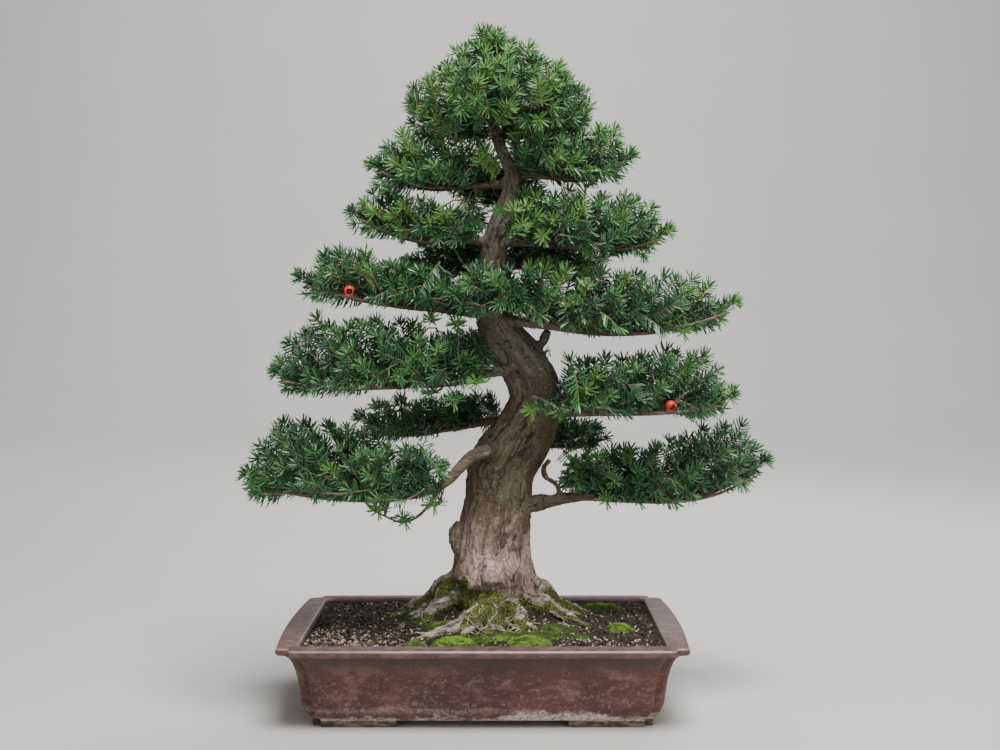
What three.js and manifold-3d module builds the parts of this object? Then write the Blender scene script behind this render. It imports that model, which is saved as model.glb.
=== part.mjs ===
// A Japanese yew bonsai in its rectangular unglazed pot, in millimetres, +Z up.
// The front is towards -Y. While it is built, the pot's centre is at x = y = 0 and its feet stand on z = 0.
import * as THREE from "three";
import { mergeVertices } from "three/addons/utils/BufferGeometryUtils.js";
import Module from "manifold-3d";

const wasm = await Module();
wasm.setup();
const { Manifold } = wasm;

// The clearance between neighbouring solids.
const GAP = 0.3;

// The pot: outer size over the rim at its corners, how far its sides bow out between them, and the corners' shape.
const POT_WIDTH = 450;
const POT_DEPTH = 362;
const SIDE_BOW = 7;
const FRONT_BOW = 2.5;
const POT_HEIGHT = 93;
const RIM_WIDTH = 22;
const CORNER_NOTCH = 14;
const FLOOR_TOP = 16;
const FOOT_HEIGHT = 7.5;
const DRAIN_RADIUS = 13;
const DRAIN_X = 95;
// How far the corners are softened, outside and in the cavity.
const CORNER_SOFT = 7;
const CAVITY_SOFT = 12;
// The L-shaped feet: inset from the rim's edge, length along the front and along the side, breadth, and how
// far their ends lean back.
const FOOT = { inset: 36, length: 95, sideLength: 74, breadth: 24, notch: 10, slant: 8 };

// The soil: its level at the rim, and the mound that carries the roots.
const SOIL_EDGE_Z = 87;
const MOUND_HEIGHT = 23;
const TRUNK_FOOT = { x: 12, y: 25 };

// The foliage: one needle, and the slim green shoot that carries it.
const NEEDLE_LENGTH = 13;
const SHOOT_RADIUS = 1.2;
const ROOT_RADIUS = 0.5;
const NEEDLE_STEP = 7.5;
const NEEDLE_RINGS = 3;

const vec = (x, y, z) => new THREE.Vector3(x, y, z);
const mix = THREE.MathUtils.lerp;
const UP = vec(0, 0, 1);

// A seeded row of draws, each between low and high.
function draws(seed) {
  let state = (seed * 48271 + 11) % 4294967296;
  return (low, high) => {
    state = (state * 1664525 + 1013904223) % 4294967296;
    return low + ((high - low) * state) / 4294967296;
  };
}

// The value at a place in a table of [place, value] rows.
function tableValue(rows, place) {
  const next = rows.findIndex(([at]) => at >= place);
  if (next === 0) return rows[0][1];
  if (next < 0) return rows.at(-1)[1];
  const [[at0, value0], [at1, value1]] = [rows[next - 1], rows[next]];
  return mix(value0, value1, (place - at0) / (at1 - at0));
}

// A closed geometry as a solid that can be joined and cut.
function solidOf(geometry) {
  geometry.deleteAttribute("normal");
  geometry.deleteAttribute("uv");
  const merged = mergeVertices(geometry, 1e-4);
  const vertProperties = merged.attributes.position.array;
  const triVerts = new Uint32Array(merged.index.array);
  return new Manifold(new wasm.Mesh({ numProp: 3, vertProperties, triVerts }));
}

// Where a corner of the unit cylinder lies: its ring, its share of a turn, and whether it is a middle point.
function cornerPlace(spots, i, sides, steps) {
  const [x, z] = [spots.getX(i), spots.getZ(i)];
  const k = Math.round((spots.getY(i) + 0.5) * steps);
  const side = (Math.round((Math.atan2(x, z) / (2 * Math.PI)) * sides) + sides) % sides;
  return { k, turn: side / sides, centre: Math.hypot(x, z) < 1e-6 };
}

// A cylinder whose rings are moved: ring(turn, k) is the point at that share of a turn on ring k, and
// middle(k) the point inside it, which closes an end. drawnOut(turn, k, upper) may give a point that a face
// between rings k and k + 1 is drawn out to, as a thorn: upper tells apart the two faces of each side.
function loft(sides, steps, ring, middle, { pointed = false, drawnOut = () => null } = {}) {
  const tube = new THREE.CylinderGeometry(pointed ? 0 : 1, 1, 1, sides, steps);
  const spots = tube.attributes.position;
  const places = [...Array(spots.count).keys()].map((i) => cornerPlace(spots, i, sides, steps));
  const points = places.map(({ k, turn, centre }) => (centre ? middle(k) : ring(turn, k)));
  const corners = [...tube.index.array];
  const faces = [];
  for (let i = 0; i < corners.length; i += 3) {
    const [a, b, c] = corners.slice(i, i + 3);
    const ends = [places[a], places[b], places[c]];
    const low = Math.min(...ends.map(({ k }) => k));
    const standing = ends.some(({ k }) => k !== low);
    const turns = ends.filter(({ centre }) => !centre).map(({ turn }) => turn);
    const seam = Math.max(...turns) - Math.min(...turns) > 0.5;
    const unwound = seam ? turns.map((turn) => (turn < 0.5 ? turn + 1 : turn)) : turns;
    const side = (Math.max(...unwound) + Math.min(...unwound)) / 2;
    const upper = ends.filter(({ k }) => k === low).length === 1;
    const tip = standing ? drawnOut(side, low, upper) : null;
    if (!tip) faces.push(a, b, c);
    else {
      const t = points.push(tip) - 1;
      faces.push(a, b, t, b, c, t, c, a, t);
    }
  }
  return solidOf(new THREE.BufferGeometry().setFromPoints(points).setIndex(faces));
}

// The directions across and over a curve at each of its places, carried along it without a twist.
function framesAlong(curve, places) {
  let across = null;
  return places.map((place) => {
    const ahead = curve.getTangentAt(place);
    across = across ?? ahead.clone().cross(Math.abs(ahead.z) > 0.95 ? vec(0, 1, 0) : UP);
    across.addScaledVector(ahead, -across.dot(ahead)).normalize();
    const over = across.clone().cross(ahead);
    return { at: curve.getPointAt(place), ahead, across: across.clone(), over, place };
  });
}

// Places from one share of a length to another in equal steps.
const evenly = (steps, from = 0, to = 1) => [...Array(steps + 1).keys()].map((k) => mix(from, to, k / steps));

// The direction away from a curve's middle at a share of a turn.
function outward({ across, over }, turn) {
  const angle = turn * 2 * Math.PI;
  return across.clone().multiplyScalar(Math.sin(angle)).addScaledVector(over, Math.cos(angle));
}

// A limb: a section round a curve with a ring at each of the places, and the radius that radius(place, turn)
// gives. thorn(frame, turn, upper) may give a point that a face just past that frame is drawn out to.
function limb(curve, radius, sides, places, { pointed = false, thorn = () => null } = {}) {
  const frames = framesAlong(curve, places);
  const ring = (turn, k) =>
    frames[k].at.clone().addScaledVector(outward(frames[k], turn), radius(frames[k].place, turn));
  const drawnOut = (turn, k, upper) => thorn(frames[k], turn, upper);
  return loft(sides, places.length - 1, ring, (k) => frames[k].at, { pointed, drawnOut });
}

// A box of that size with its centre there.
function box(width, depth, height, x, y, z) {
  return solidOf(new THREE.BoxGeometry(width, depth, height).translate(x, y, z));
}

// An upright disc or plug from z0 to z1.
function disc(radius, sides, x, y, z0, z1) {
  const round = new THREE.CylinderGeometry(radius, radius, z1 - z0, sides);
  return solidOf(round.rotateX(Math.PI / 2).translate(x, y, (z0 + z1) / 2));
}

// The pot

// One quarter of the plan outline with its notched corner, from the +X side round to the +Y side. Its sides bow
// out a little towards their middles.
function notchedQuarter(halfWidth, halfDepth, notch, soft) {
  const bow = ([x, y]) => [
    x + SIDE_BOW * (x / halfWidth) * (1 - (y / halfDepth) ** 2),
    y + FRONT_BOW * (y / halfDepth) * (1 - (x / halfWidth) ** 2),
  ];
  return [
    [halfWidth, halfDepth * 0.22],
    [halfWidth, halfDepth * 0.6],
    [halfWidth, halfDepth - notch - soft],
    [halfWidth - soft * 0.3, halfDepth - notch - soft * 0.3],
    [halfWidth - soft, halfDepth - notch],
    [halfWidth - notch, halfDepth - notch],
    [halfWidth - notch, halfDepth - soft],
    [halfWidth - notch - soft * 0.3, halfDepth - soft * 0.3],
    [halfWidth - notch - soft, halfDepth],
    [halfWidth * 0.35, halfDepth],
  ].map(bow);
}

// One quarter of a rectangle with a rounded corner.
function roundedQuarter(halfWidth, halfDepth, soft) {
  return [
    [halfWidth, halfDepth - soft],
    [halfWidth - soft * 0.3, halfDepth - soft * 0.3],
    [halfWidth - soft, halfDepth],
  ];
}

// The whole outline from one quarter, anticlockwise.
function fourQuarters(quarter) {
  const back = [...quarter].reverse();
  return [
    ...quarter,
    ...back.map(([x, y]) => [-x, y]),
    ...quarter.map(([x, y]) => [-x, -y]),
    ...back.map(([x, y]) => [x, -y]),
  ];
}

// A stack of plan outlines: each level is [height, outline].
function stack(levels) {
  const sides = levels[0][1].length;
  const ring = (turn, k) => {
    const [x, y] = levels[k][1][Math.round(turn * sides)];
    return vec(x, y, levels[k][0]);
  };
  return loft(sides, levels.length - 1, ring, (k) => vec(0, 0, levels[k][0]));
}

// The outer wall from the base to the rim: [height, inset from the rim's edge, depth of the corner notch].
const WALL_PROFILE = [
  [FOOT_HEIGHT, 38, 10],
  [10, 34, 10.5],
  [15.5, 30, 11],
  [26, 26.5, 11],
  [50, 22.5, 12],
  [68, 18.5, 12.5],
  [77, 14, 13],
  [82, 9, 13.5],
  [83.5, 1.5, CORNER_NOTCH],
  [90, 0, CORNER_NOTCH],
  [POT_HEIGHT, 3.5, CORNER_NOTCH],
];

// The cavity: [height, inset of its wall from the rim's edge].
const CAVITY_PROFILE = [
  [FLOOR_TOP, 46],
  [22, 41],
  [70, RIM_WIDTH + 6],
  [POT_HEIGHT + 1, RIM_WIDTH],
];

// The cavity's outline at a height, drawn in by a clearance.
function cavityOutline(z, clearance = 0) {
  const inset = tableValue(CAVITY_PROFILE, z) + clearance;
  return fourQuarters(roundedQuarter(POT_WIDTH / 2 - inset, POT_DEPTH / 2 - inset, CAVITY_SOFT));
}

// An L-shaped foot under one corner: it follows the notched corner of the base.
function foot(sideX, sideY) {
  const { inset, length, sideLength, breadth, notch, slant } = FOOT;
  const [halfWidth, halfDepth] = [POT_WIDTH / 2 - inset, POT_DEPTH / 2 - inset];
  const outline = new THREE.Shape(
    [
      [halfWidth, halfDepth - sideLength],
      [halfWidth, halfDepth - notch],
      [halfWidth - notch, halfDepth - notch],
      [halfWidth - notch, halfDepth],
      [halfWidth - length, halfDepth],
      [halfWidth - length + slant, halfDepth - breadth],
      [halfWidth - breadth, halfDepth - breadth],
      [halfWidth - breadth, halfDepth - sideLength + slant],
    ].map(([x, y]) => new THREE.Vector2(x, y)),
  );
  const sunk = 1.5;
  const slab = new THREE.ExtrudeGeometry(outline, { depth: FOOT_HEIGHT + sunk, bevelEnabled: false });
  return solidOf(slab).scale([sideX, sideY, 1]);
}

function makePot() {
  const wall = stack(
    WALL_PROFILE.map(([z, inset, notch]) => [
      z,
      fourQuarters(notchedQuarter(POT_WIDTH / 2 - inset, POT_DEPTH / 2 - inset, notch, CORNER_SOFT)),
    ]),
  );
  const cavity = stack(CAVITY_PROFILE.map(([z]) => [z, cavityOutline(z)]));
  const drains = [-DRAIN_X, DRAIN_X].map((x) => disc(DRAIN_RADIUS, 12, x, 0, 0, FLOOR_TOP + 5));
  const feet = [-1, 1].flatMap((sideX) => [-1, 1].map((sideY) => foot(sideX, sideY)));
  return Manifold.union([wall, ...feet]).subtract(Manifold.union([cavity, ...drains]));
}

// A plastic mesh over a drain hole: a plate with square holes.
const SCREEN_SIZE = 44;
const SCREEN_THICKNESS = 1.2;
const SCREEN_HOLES = 3;
const SCREEN_BAR = 4;

function makeScreen(x) {
  const z = FLOOR_TOP + GAP + SCREEN_THICKNESS / 2;
  const pitch = (SCREEN_SIZE - SCREEN_BAR) / SCREEN_HOLES;
  const opening = pitch - SCREEN_BAR;
  const rows = [...Array(SCREEN_HOLES).keys()].map((k) => (k - (SCREEN_HOLES - 1) / 2) * pitch);
  const cutDepth = 3 * SCREEN_THICKNESS;
  const holes = rows.flatMap((dx) => rows.map((dy) => box(opening, opening, cutDepth, x + dx, dy, z)));
  return box(SCREEN_SIZE, SCREEN_SIZE, SCREEN_THICKNESS, x, 0, z).subtract(Manifold.union(holes));
}

// The wood

// The trunk's line: [x, y, z, radius] from below the soil to the apex of the crown.
const TRUNK = [
  [10, 25, 52, 50],
  [12, 25, 92, 70],
  [11, 25, 112, 62],
  [8, 26, 141, 52],
  [8, 27, 166, 46],
  [10, 28, 194, 43.5],
  [17, 30, 231, 41],
  [21, 32, 270, 41],
  [38, 35, 298, 40],
  [52, 36, 324, 35.5],
  [61, 34, 354, 32],
  [57, 30, 376, 32],
  [42, 26, 404, 30.5],
  [24, 21, 428, 27],
  [13, 16, 452, 22.5],
  [9, 11, 484, 18.5],
  [9, 8, 512, 16.5],
  [13, 6, 542, 16],
  [22, 7, 572, 13.5],
  [31, 9, 602, 10.5],
  [32, 11, 622, 9.3],
  [18, 12, 656, 7.3],
  [13, 11, 676, 6.3],
  [8, 9, 710, 5],
  [4, 5, 752, 3.2],
  [3, 2, 786, 1.4],
];
// The share of that line that is bare wood, before the crown's green leader takes over.
const TRUNK_WOOD = 0.856;
const trunkCurve = new THREE.CatmullRomCurve3(TRUNK.map(([x, y, z]) => vec(x, y, z)));
const TRUNK_RADII = TRUNK.map(([, , , radius], k) => [k / (TRUNK.length - 1), radius]);
const TRUNK_SIDES = 12;
const TRUNK_STEPS = 25;

// The trunk's radius at a share of its length.
const trunkGirth = (along) => tableValue(TRUNK_RADII, trunkCurve.getUtoTmapping(along));

// The old bark: shallow flutes that twist up the trunk, deeper at the foot where they run into the roots.
function flutes(along, turn) {
  const angle = turn * 2 * Math.PI;
  const foot = Math.max(0, 1 - along * 4.5);
  const broad = Math.sin(angle * 3 + along * 9) * (0.03 + 0.05 * foot);
  const fine = Math.sin(angle * 7 - along * 14 + 1.3) * (0.025 + 0.035 * foot);
  return 1 + broad + fine;
}

// The old knuckle low on the trunk's left, where a branch was taken off: place and radius.
const KNUCKLE = { at: vec(-33, 14, 196), radius: 13 };

// The surface roots: each is a line of [x, y, height over the soil] points, with its first and last radius.
const ROOTS = [
  { line: [[-8, 26, 42], [-40, 32, 26], [-67, 36, 12], [-98, 34, 3], [-124, 20, -6]], radii: [30, 4] },
  { line: [[-22, 20, 14], [-58, 10, 5], [-80, -12, 0], [-94, -32, -6]], radii: [20, 3] },
  { line: [[5, 0, 14], [-8, -38, 7], [-38, -66, 3], [-66, -86, 1], [-90, -106, -6]], radii: [22, 4] },
  { line: [[8, -20, 8], [14, -48, 3], [4, -72, -1], [2, -86, -6]], radii: [12, 3] },
  { line: [[26, -6, 12], [42, -26, 4], [46, -46, -1], [58, -62, -7]], radii: [17, 4] },
  { line: [[36, 12, 16], [74, 8, 6], [104, -8, 1], [126, -22, -6]], radii: [22, 4] },
  { line: [[28, 28, 36], [60, 36, 19], [92, 44, 6], [124, 46, 1], [148, 36, -6]], radii: [28, 4] },
  { line: [[24, 60, 14], [44, 92, 4], [76, 112, -6]], radii: [22, 5] },
  { line: [[-10, 58, 14], [-34, 90, 4], [-62, 110, -6]], radii: [22, 5] },
];

// The branches. line: points of the branch's middle from inside the trunk to its furthest tip. radii: at the
// trunk and at the tip. wood: the share of the line that is bare wood before the green part takes over.
// front, back: how far the twigs spread to each side. rise: how high the pad stands over the branch.
// twigs: how many side twigs. tops: how many shoots stand on the branch. hang: how many hang under it.
const BRANCHES = {
  low_left: {
    line: [
      [22, 12, 292], [-12, -30, 291], [-50, -58, 258], [-101, -68, 246], [-175, -68, 250], [-256, -60, 266],
    ],
    radii: [12, 2.2], wood: 0.36, front: 66, back: 98, rise: 76, twigs: 6, tops: 2, hang: 2, seed: 11,
  },
  low_right: {
    line: [[30, 22, 226], [70, 8, 232], [114, 2, 240], [196, 0, 236], [256, 2, 243], [326, 8, 276]],
    radii: [12, 2.2], wood: 0.27, front: 52, back: 94, rise: 70, twigs: 6, tops: 2, hang: 0, seed: 12,
  },
  back_low_left: {
    line: [[40, 40, 322], [12, 74, 325], [-40, 112, 313], [-100, 138, 306], [-150, 146, 318]],
    radii: [10, 2], wood: 0.4, front: 50, back: 56, rise: 56, twigs: 4, tops: 1, hang: 0, seed: 13,
  },
  back_low_right: {
    line: [[44, 44, 296], [74, 82, 294], [100, 118, 292], [132, 154, 304]],
    radii: [9, 2], wood: 0.36, front: 55, back: 55, rise: 54, twigs: 4, tops: 1, hang: 0, seed: 14,
  },
  middle_left: {
    line: [
      [44, 18, 392], [5, -16, 387], [-39, -38, 376], [-108, -44, 374], [-177, -44, 373], [-230, -44, 382],
    ],
    radii: [10, 2.2], wood: 0.32, front: 60, back: 84, rise: 76, twigs: 6, tops: 2, hang: 0, seed: 15,
  },
  middle_right: {
    line: [[60, 20, 344], [92, -10, 341], [135, -28, 341], [204, -36, 343], [274, -36, 354]],
    radii: [10, 2.2], wood: 0.27, front: 60, back: 78, rise: 66, twigs: 6, tops: 2, hang: 0, seed: 16,
  },
  back_middle: {
    line: [[42, 36, 398], [22, 76, 400], [-14, 116, 396], [-50, 150, 406]],
    radii: [9, 2], wood: 0.38, front: 60, back: 60, rise: 54, twigs: 4, tops: 1, hang: 0, seed: 17,
  },
  upper_left: {
    line: [[16, 12, 458], [-12, -10, 456], [-45, -24, 460], [-120, -30, 468], [-200, -28, 490]],
    radii: [8, 2], wood: 0.3, front: 52, back: 68, rise: 58, twigs: 6, tops: 2, hang: 0, seed: 18,
  },
  upper_right: {
    line: [[14, 14, 450], [40, -8, 447], [72, -16, 443], [136, -20, 434], [200, -20, 436], [286, -18, 462]],
    radii: [10, 2.2], wood: 0.29, front: 60, back: 76, rise: 76, twigs: 6, tops: 2, hang: 0, seed: 19,
  },
  front_small: {
    line: [[14, 12, 470], [12, -22, 466], [-4, -52, 464], [-30, -70, 472]],
    radii: [6, 1.8], wood: 0.5, front: 34, back: 34, rise: 50, twigs: 4, tops: 1, hang: 0, seed: 20,
  },
  back_upper_left: {
    line: [[8, 12, 504], [-18, 46, 507], [-54, 80, 505], [-88, 102, 514]],
    radii: [7, 1.8], wood: 0.36, front: 46, back: 46, rise: 50, twigs: 4, tops: 1, hang: 0, seed: 21,
  },
  back_upper_right: {
    line: [[10, 12, 512], [46, 44, 512], [92, 78, 508], [136, 98, 516]],
    radii: [7, 1.8], wood: 0.36, front: 46, back: 50, rise: 50, twigs: 4, tops: 1, hang: 0, seed: 22,
  },
  high_left: {
    line: [[13, 6, 542], [-14, -2, 542], [-50, -8, 538], [-98, -12, 547], [-144, -12, 568]],
    radii: [7, 1.8], wood: 0.3, front: 44, back: 54, rise: 54, twigs: 5, tops: 2, hang: 0, seed: 23,
  },
  high_right: {
    line: [[13, 6, 540], [40, -4, 539], [101, -12, 534], [160, -12, 532], [208, -10, 546]],
    radii: [7, 1.8], wood: 0.27, front: 50, back: 60, rise: 68, twigs: 6, tops: 2, hang: 0, seed: 24,
  },
  back_high: {
    line: [[26, 8, 586], [24, 44, 590], [18, 76, 592], [10, 106, 604]],
    radii: [6, 1.8], wood: 0.36, front: 46, back: 46, rise: 50, twigs: 4, tops: 1, hang: 0, seed: 25,
  },
  top_left: {
    line: [[31, 10, 612], [4, 2, 607], [-30, -4, 604], [-66, -6, 603], [-118, -8, 622]],
    radii: [6, 1.8], wood: 0.3, front: 44, back: 48, rise: 66, twigs: 5, tops: 2, hang: 0, seed: 26,
  },
  top_right: {
    line: [[32, 10, 618], [60, -2, 617], [100, -8, 613], [130, -8, 616], [160, -8, 634]],
    radii: [6, 1.8], wood: 0.28, front: 44, back: 48, rise: 64, twigs: 5, tops: 2, hang: 0, seed: 27,
  },
};

const branchCurve = (branch) => new THREE.CatmullRomCurve3(branch.line.map((point) => vec(...point)));
const branchRadius = (branch, along) => mix(branch.radii[0], branch.radii[1], Math.sqrt(along));

// The bare wood of a branch, from inside the trunk to where the green part starts.
function branchWood(branch) {
  const flare = (along) => 1 + 0.5 * Math.max(0, 1 - (along / branch.wood) * 3.5);
  const radius = (along) => branchRadius(branch, along) * flare(along);
  return limb(branchCurve(branch), radius, 5, evenly(3, 0, branch.wood));
}

// The soil and its moss

// A soft bell that is 1 at the trunk's foot and fades out towards the pot's walls.
function mound(x, y) {
  const away = Math.hypot((x - TRUNK_FOOT.x) / 150, (y - TRUNK_FOOT.y) / 105);
  return Math.exp(-2.4 * away * away);
}

// The height of the soil, with its crumbs as fine relief.
function soilHeight(x, y) {
  const broad = Math.sin(x * 0.31 + y * 0.17) * Math.cos(y * 0.37 - x * 0.11) * 0.8;
  const fine = Math.sin(x * 0.9 + y * 1.3) * 0.4;
  return SOIL_EDGE_Z + MOUND_HEIGHT * mound(x, y) + broad + fine;
}

// A root: it runs out over the soil and dives in at its tip. extra grows it for the groove it lies in.
function rootLimb({ line, radii }, extra = 0) {
  const sunk = 2;
  const points = line.map(([x, y, over]) => vec(x, y, soilHeight(x, y) + over - sunk));
  const radius = (along, turn) => {
    const knots = 1 + 0.16 * Math.sin(along * 21 + turn * 9);
    return mix(radii[0], radii[1], Math.pow(along, 0.7)) * knots + extra;
  };
  return limb(new THREE.CatmullRomCurve3(points), radius, 5, evenly(5));
}

// The trunk, from its stump in the soil to where the crown's green leader takes over, grown by extra.
function trunkSolid(extra = 0) {
  const radius = (along, turn) => trunkGirth(along) * flutes(along, turn) + extra;
  return limb(trunkCurve, radius, TRUNK_SIDES, evenly(TRUNK_STEPS, 0, TRUNK_WOOD));
}

function makeWood() {
  const knuckle = new THREE.SphereGeometry(KNUCKLE.radius, 8, 6);
  knuckle.scale(0.9, 1, 1.5).translate(KNUCKLE.at.x, KNUCKLE.at.y, KNUCKLE.at.z);
  return Manifold.union([
    trunkSolid(),
    solidOf(knuckle),
    ...ROOTS.map((root) => rootLimb(root)),
    ...Object.values(BRANCHES).map(branchWood),
  ]);
}

// The top face of the soil as a grid of columns, closed below by the cavity's shape.
function soilBlock(lift = 0) {
  const [columns, rows] = [16, 12];
  const [width, depth] = [POT_WIDTH - 2 * RIM_WIDTH + 6, POT_DEPTH - 2 * RIM_WIDTH + 6];
  const block = new THREE.BoxGeometry(width, depth, 1, columns, rows, 1);
  const spots = block.attributes.position;
  for (let i = 0; i < spots.count; i += 1) {
    const [x, y, z] = [spots.getX(i), spots.getY(i), spots.getZ(i)];
    spots.setZ(i, z > 0 ? soilHeight(x, y) + lift : FLOOR_TOP - 4);
  }
  return solidOf(block);
}

// The moss cushions on the soil: [name, x, y, half width, half depth, height].
const MOSS = [
  ["moss_front_left", -32, -134, 27, 20, 12],
  ["moss_front_right", 52, -130, 27, 24, 12],
  ["moss_front_far_left", -74, -139, 13, 12, 8],
  ["moss_right", 158, -42, 17, 12, 9],
  ["moss_back_right", 146, 98, 26, 20, 8],
];

// A moss cushion: a domed plug with an uneven surface. Its underside is cut by the soil afterwards.
function mossDome([, x, y, halfWidth, halfDepth, height]) {
  const steps = 2;
  const z = (k) => soilHeight(x, y) - 3 + ((height + 3) * k) / steps;
  const ring = (turn, k) => {
    const angle = turn * 2 * Math.PI;
    const uneven = 1 + 0.12 * Math.sin(angle * 3 + x) + 0.07 * Math.sin(angle * 7 + y);
    const reach = Math.sqrt(Math.max(0, 1 - (k / steps) ** 2)) * uneven;
    const lump = Math.sin(angle * 5 + k * 2.3) * 0.5;
    return vec(x + Math.sin(angle) * halfWidth * reach, y - Math.cos(angle) * halfDepth * reach, z(k) + lump);
  };
  return loft(9, steps, ring, (k) => vec(x, y, z(k)), { pointed: true });
}

// The foliage

// A straight piece of foliage as two ends and a radius, to test what it would touch.
const bar = (a, b, radius) => ({ a, b, radius });

// The shortest distance between two straight pieces, less their radii.
function clearance(first, second) {
  const d1 = first.b.clone().sub(first.a);
  const d2 = second.b.clone().sub(second.a);
  const r = first.a.clone().sub(second.a);
  const [a, e, f] = [d1.dot(d1), d2.dot(d2), d2.dot(r)];
  const [c, b] = [d1.dot(r), d1.dot(d2)];
  const spread = a * e - b * b;
  let s = spread > 1e-9 ? THREE.MathUtils.clamp((b * f - c * e) / spread, 0, 1) : 0;
  const t = THREE.MathUtils.clamp((b * s + f) / e, 0, 1);
  s = THREE.MathUtils.clamp((b * t - c) / a, 0, 1);
  const gap = r.addScaledVector(d1, s).addScaledVector(d2, -t).length();
  return gap - first.radius - second.radius;
}

// What already stands: the bars of every finished node, by node name.
const standing = new Map();

// A curve as a row of bars between its places.
function barsAlong(curve, radius, places) {
  return places.slice(1).map((to, k) => {
    const from = places[k];
    return bar(curve.getPointAt(from), curve.getPointAt(to), Math.max(radius(from), radius(to)));
  });
}

function rememberWood() {
  const girth = (along) => trunkGirth(along) * 1.1;
  standing.set("trunk", barsAlong(trunkCurve, girth, evenly(40, 0, TRUNK_WOOD - 0.01)));
  for (const [name, branch] of Object.entries(BRANCHES)) {
    const radius = (along) => branchRadius(branch, along) + 0.5;
    standing.set(`wood_${name}`, barsAlong(branchCurve(branch), radius, evenly(8, 0, branch.wood * 0.94)));
  }
}

// The green part of one branch. It collects stems and shoots, and joins them in one solid with their needles.
class Spray {
  constructor(name, seed) {
    this.name = name;
    this.draw = draws(seed);
    this.solids = [];
    this.stems = [];
    this.shoots = [];
    this.needles = [];
  }

  // A piece keeps the clearance from every other node.
  fits(piece) {
    return [...standing.values()].every((bars) => bars.every((other) => clearance(piece, other) >= GAP));
  }

  // A bare stem along a curve: the spine, where the branch's own wood goes on, or an aril's stalk.
  stem(curve, radius, sides, places, pointed = false) {
    this.stems.push(...barsAlong(curve, radius, places));
    this.solids.push(limb(curve, radius, sides, places, { pointed }));
  }

  // A shoot along a curve, where there is room for its core: bare at first, then with rings of needles.
  shoot(curve) {
    const core = barsAlong(curve, () => SHOOT_RADIUS, evenly(3));
    if (!core.every((piece) => this.fits(piece))) return null;
    const bare = Math.max(0.12, 1 - (NEEDLE_RINGS * NEEDLE_STEP) / curve.getLength());
    const shoot = { curve, bare, core };
    this.shoots.push(shoot);
    return shoot;
  }

  // A shoot's solid: six needles to a ring, two on each of its three sides.
  grow({ curve, bare, core }) {
    const cores = this.shoots.filter((shoot) => shoot.core !== core).flatMap((shoot) => shoot.core);
    const others = [...this.stems, ...cores, ...this.needles];
    const places = [0, ...evenly(NEEDLE_RINGS, bare, 1)];
    const radius = (place) => (place === 0 ? ROOT_RADIUS : SHOOT_RADIUS);
    const thorn = (frame, turn, upper) =>
      frame.place < bare ? null : this.needle(frame, turn + (upper ? -1 : 1) / 12, upper, others);
    return limb(curve, radius, 3, places, { pointed: true, thorn });
  }

  // The tip of a needle that leans forwards from one side of a shoot, unless something is in its way.
  needle(frame, turn, upper, others) {
    const way = outward(frame, turn).addScaledVector(frame.ahead, this.draw(0.55, 0.95)).normalize();
    const root = frame.at.clone().addScaledVector(frame.ahead, (NEEDLE_STEP * (upper ? 2 : 1)) / 3);
    const tip = root.clone().addScaledVector(way, (NEEDLE_LENGTH + SHOOT_RADIUS) * this.draw(0.9, 1.1));
    const piece = bar(root, tip, 0.8);
    if (!this.fits(piece)) return null;
    if (others.some((other) => clearance(piece, other) < GAP)) return null;
    this.needles.push(piece);
    return tip;
  }

  finish() {
    const shoots = this.shoots.map((shoot) => this.grow(shoot));
    standing.set(this.name, [...this.stems, ...this.shoots.flatMap(({ core }) => core), ...this.needles]);
    return Manifold.union([...this.solids, ...shoots]);
  }
}

// A curve that leaves a root in a direction and bends upwards to its point.
function risingCurve(root, way, length, lift) {
  const lean = way.clone().normalize();
  const knee = root.clone().addScaledVector(lean, length * 0.55);
  const end = knee.clone().addScaledVector(lean.lerp(UP, lift).normalize(), length * 0.45);
  return new THREE.QuadraticBezierCurve3(root, knee, end);
}

// How wide a pad is at a share of its branch: narrow at the trunk, full past the middle, rounded at the tip.
const padWidth = (along) => Math.sin(Math.PI * Math.pow(mix(0.16, 0.9, along), 0.85));

// The side twigs of a pad, in turn to the front and to the back, each with the way it grows.
function sideTwigs(branch, curve, green, draw) {
  return evenly(branch.twigs - 1, 0.1, 0.84).map((along, k) => {
    const toFront = k % 2 === 0;
    const place = mix(green, 1, along);
    const root = curve.getPointAt(place);
    const ahead = curve.getTangentAt(place).setZ(0).normalize();
    const aside = ahead.clone().cross(UP).normalize();
    if (aside.y < 0 !== toFront) aside.negate();
    const turn = mix(1.9, 0.65, along) + draw(-0.15, 0.15);
    const way = ahead.multiplyScalar(Math.cos(turn)).addScaledVector(aside, Math.sin(turn));
    const reach = (toFront ? branch.front : branch.back) * padWidth(mix(branch.wood * 0.5, 1, along));
    const crest = branch.rise * draw(0.1, 0.4);
    return { root, way, reach, crest };
  });
}

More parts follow.
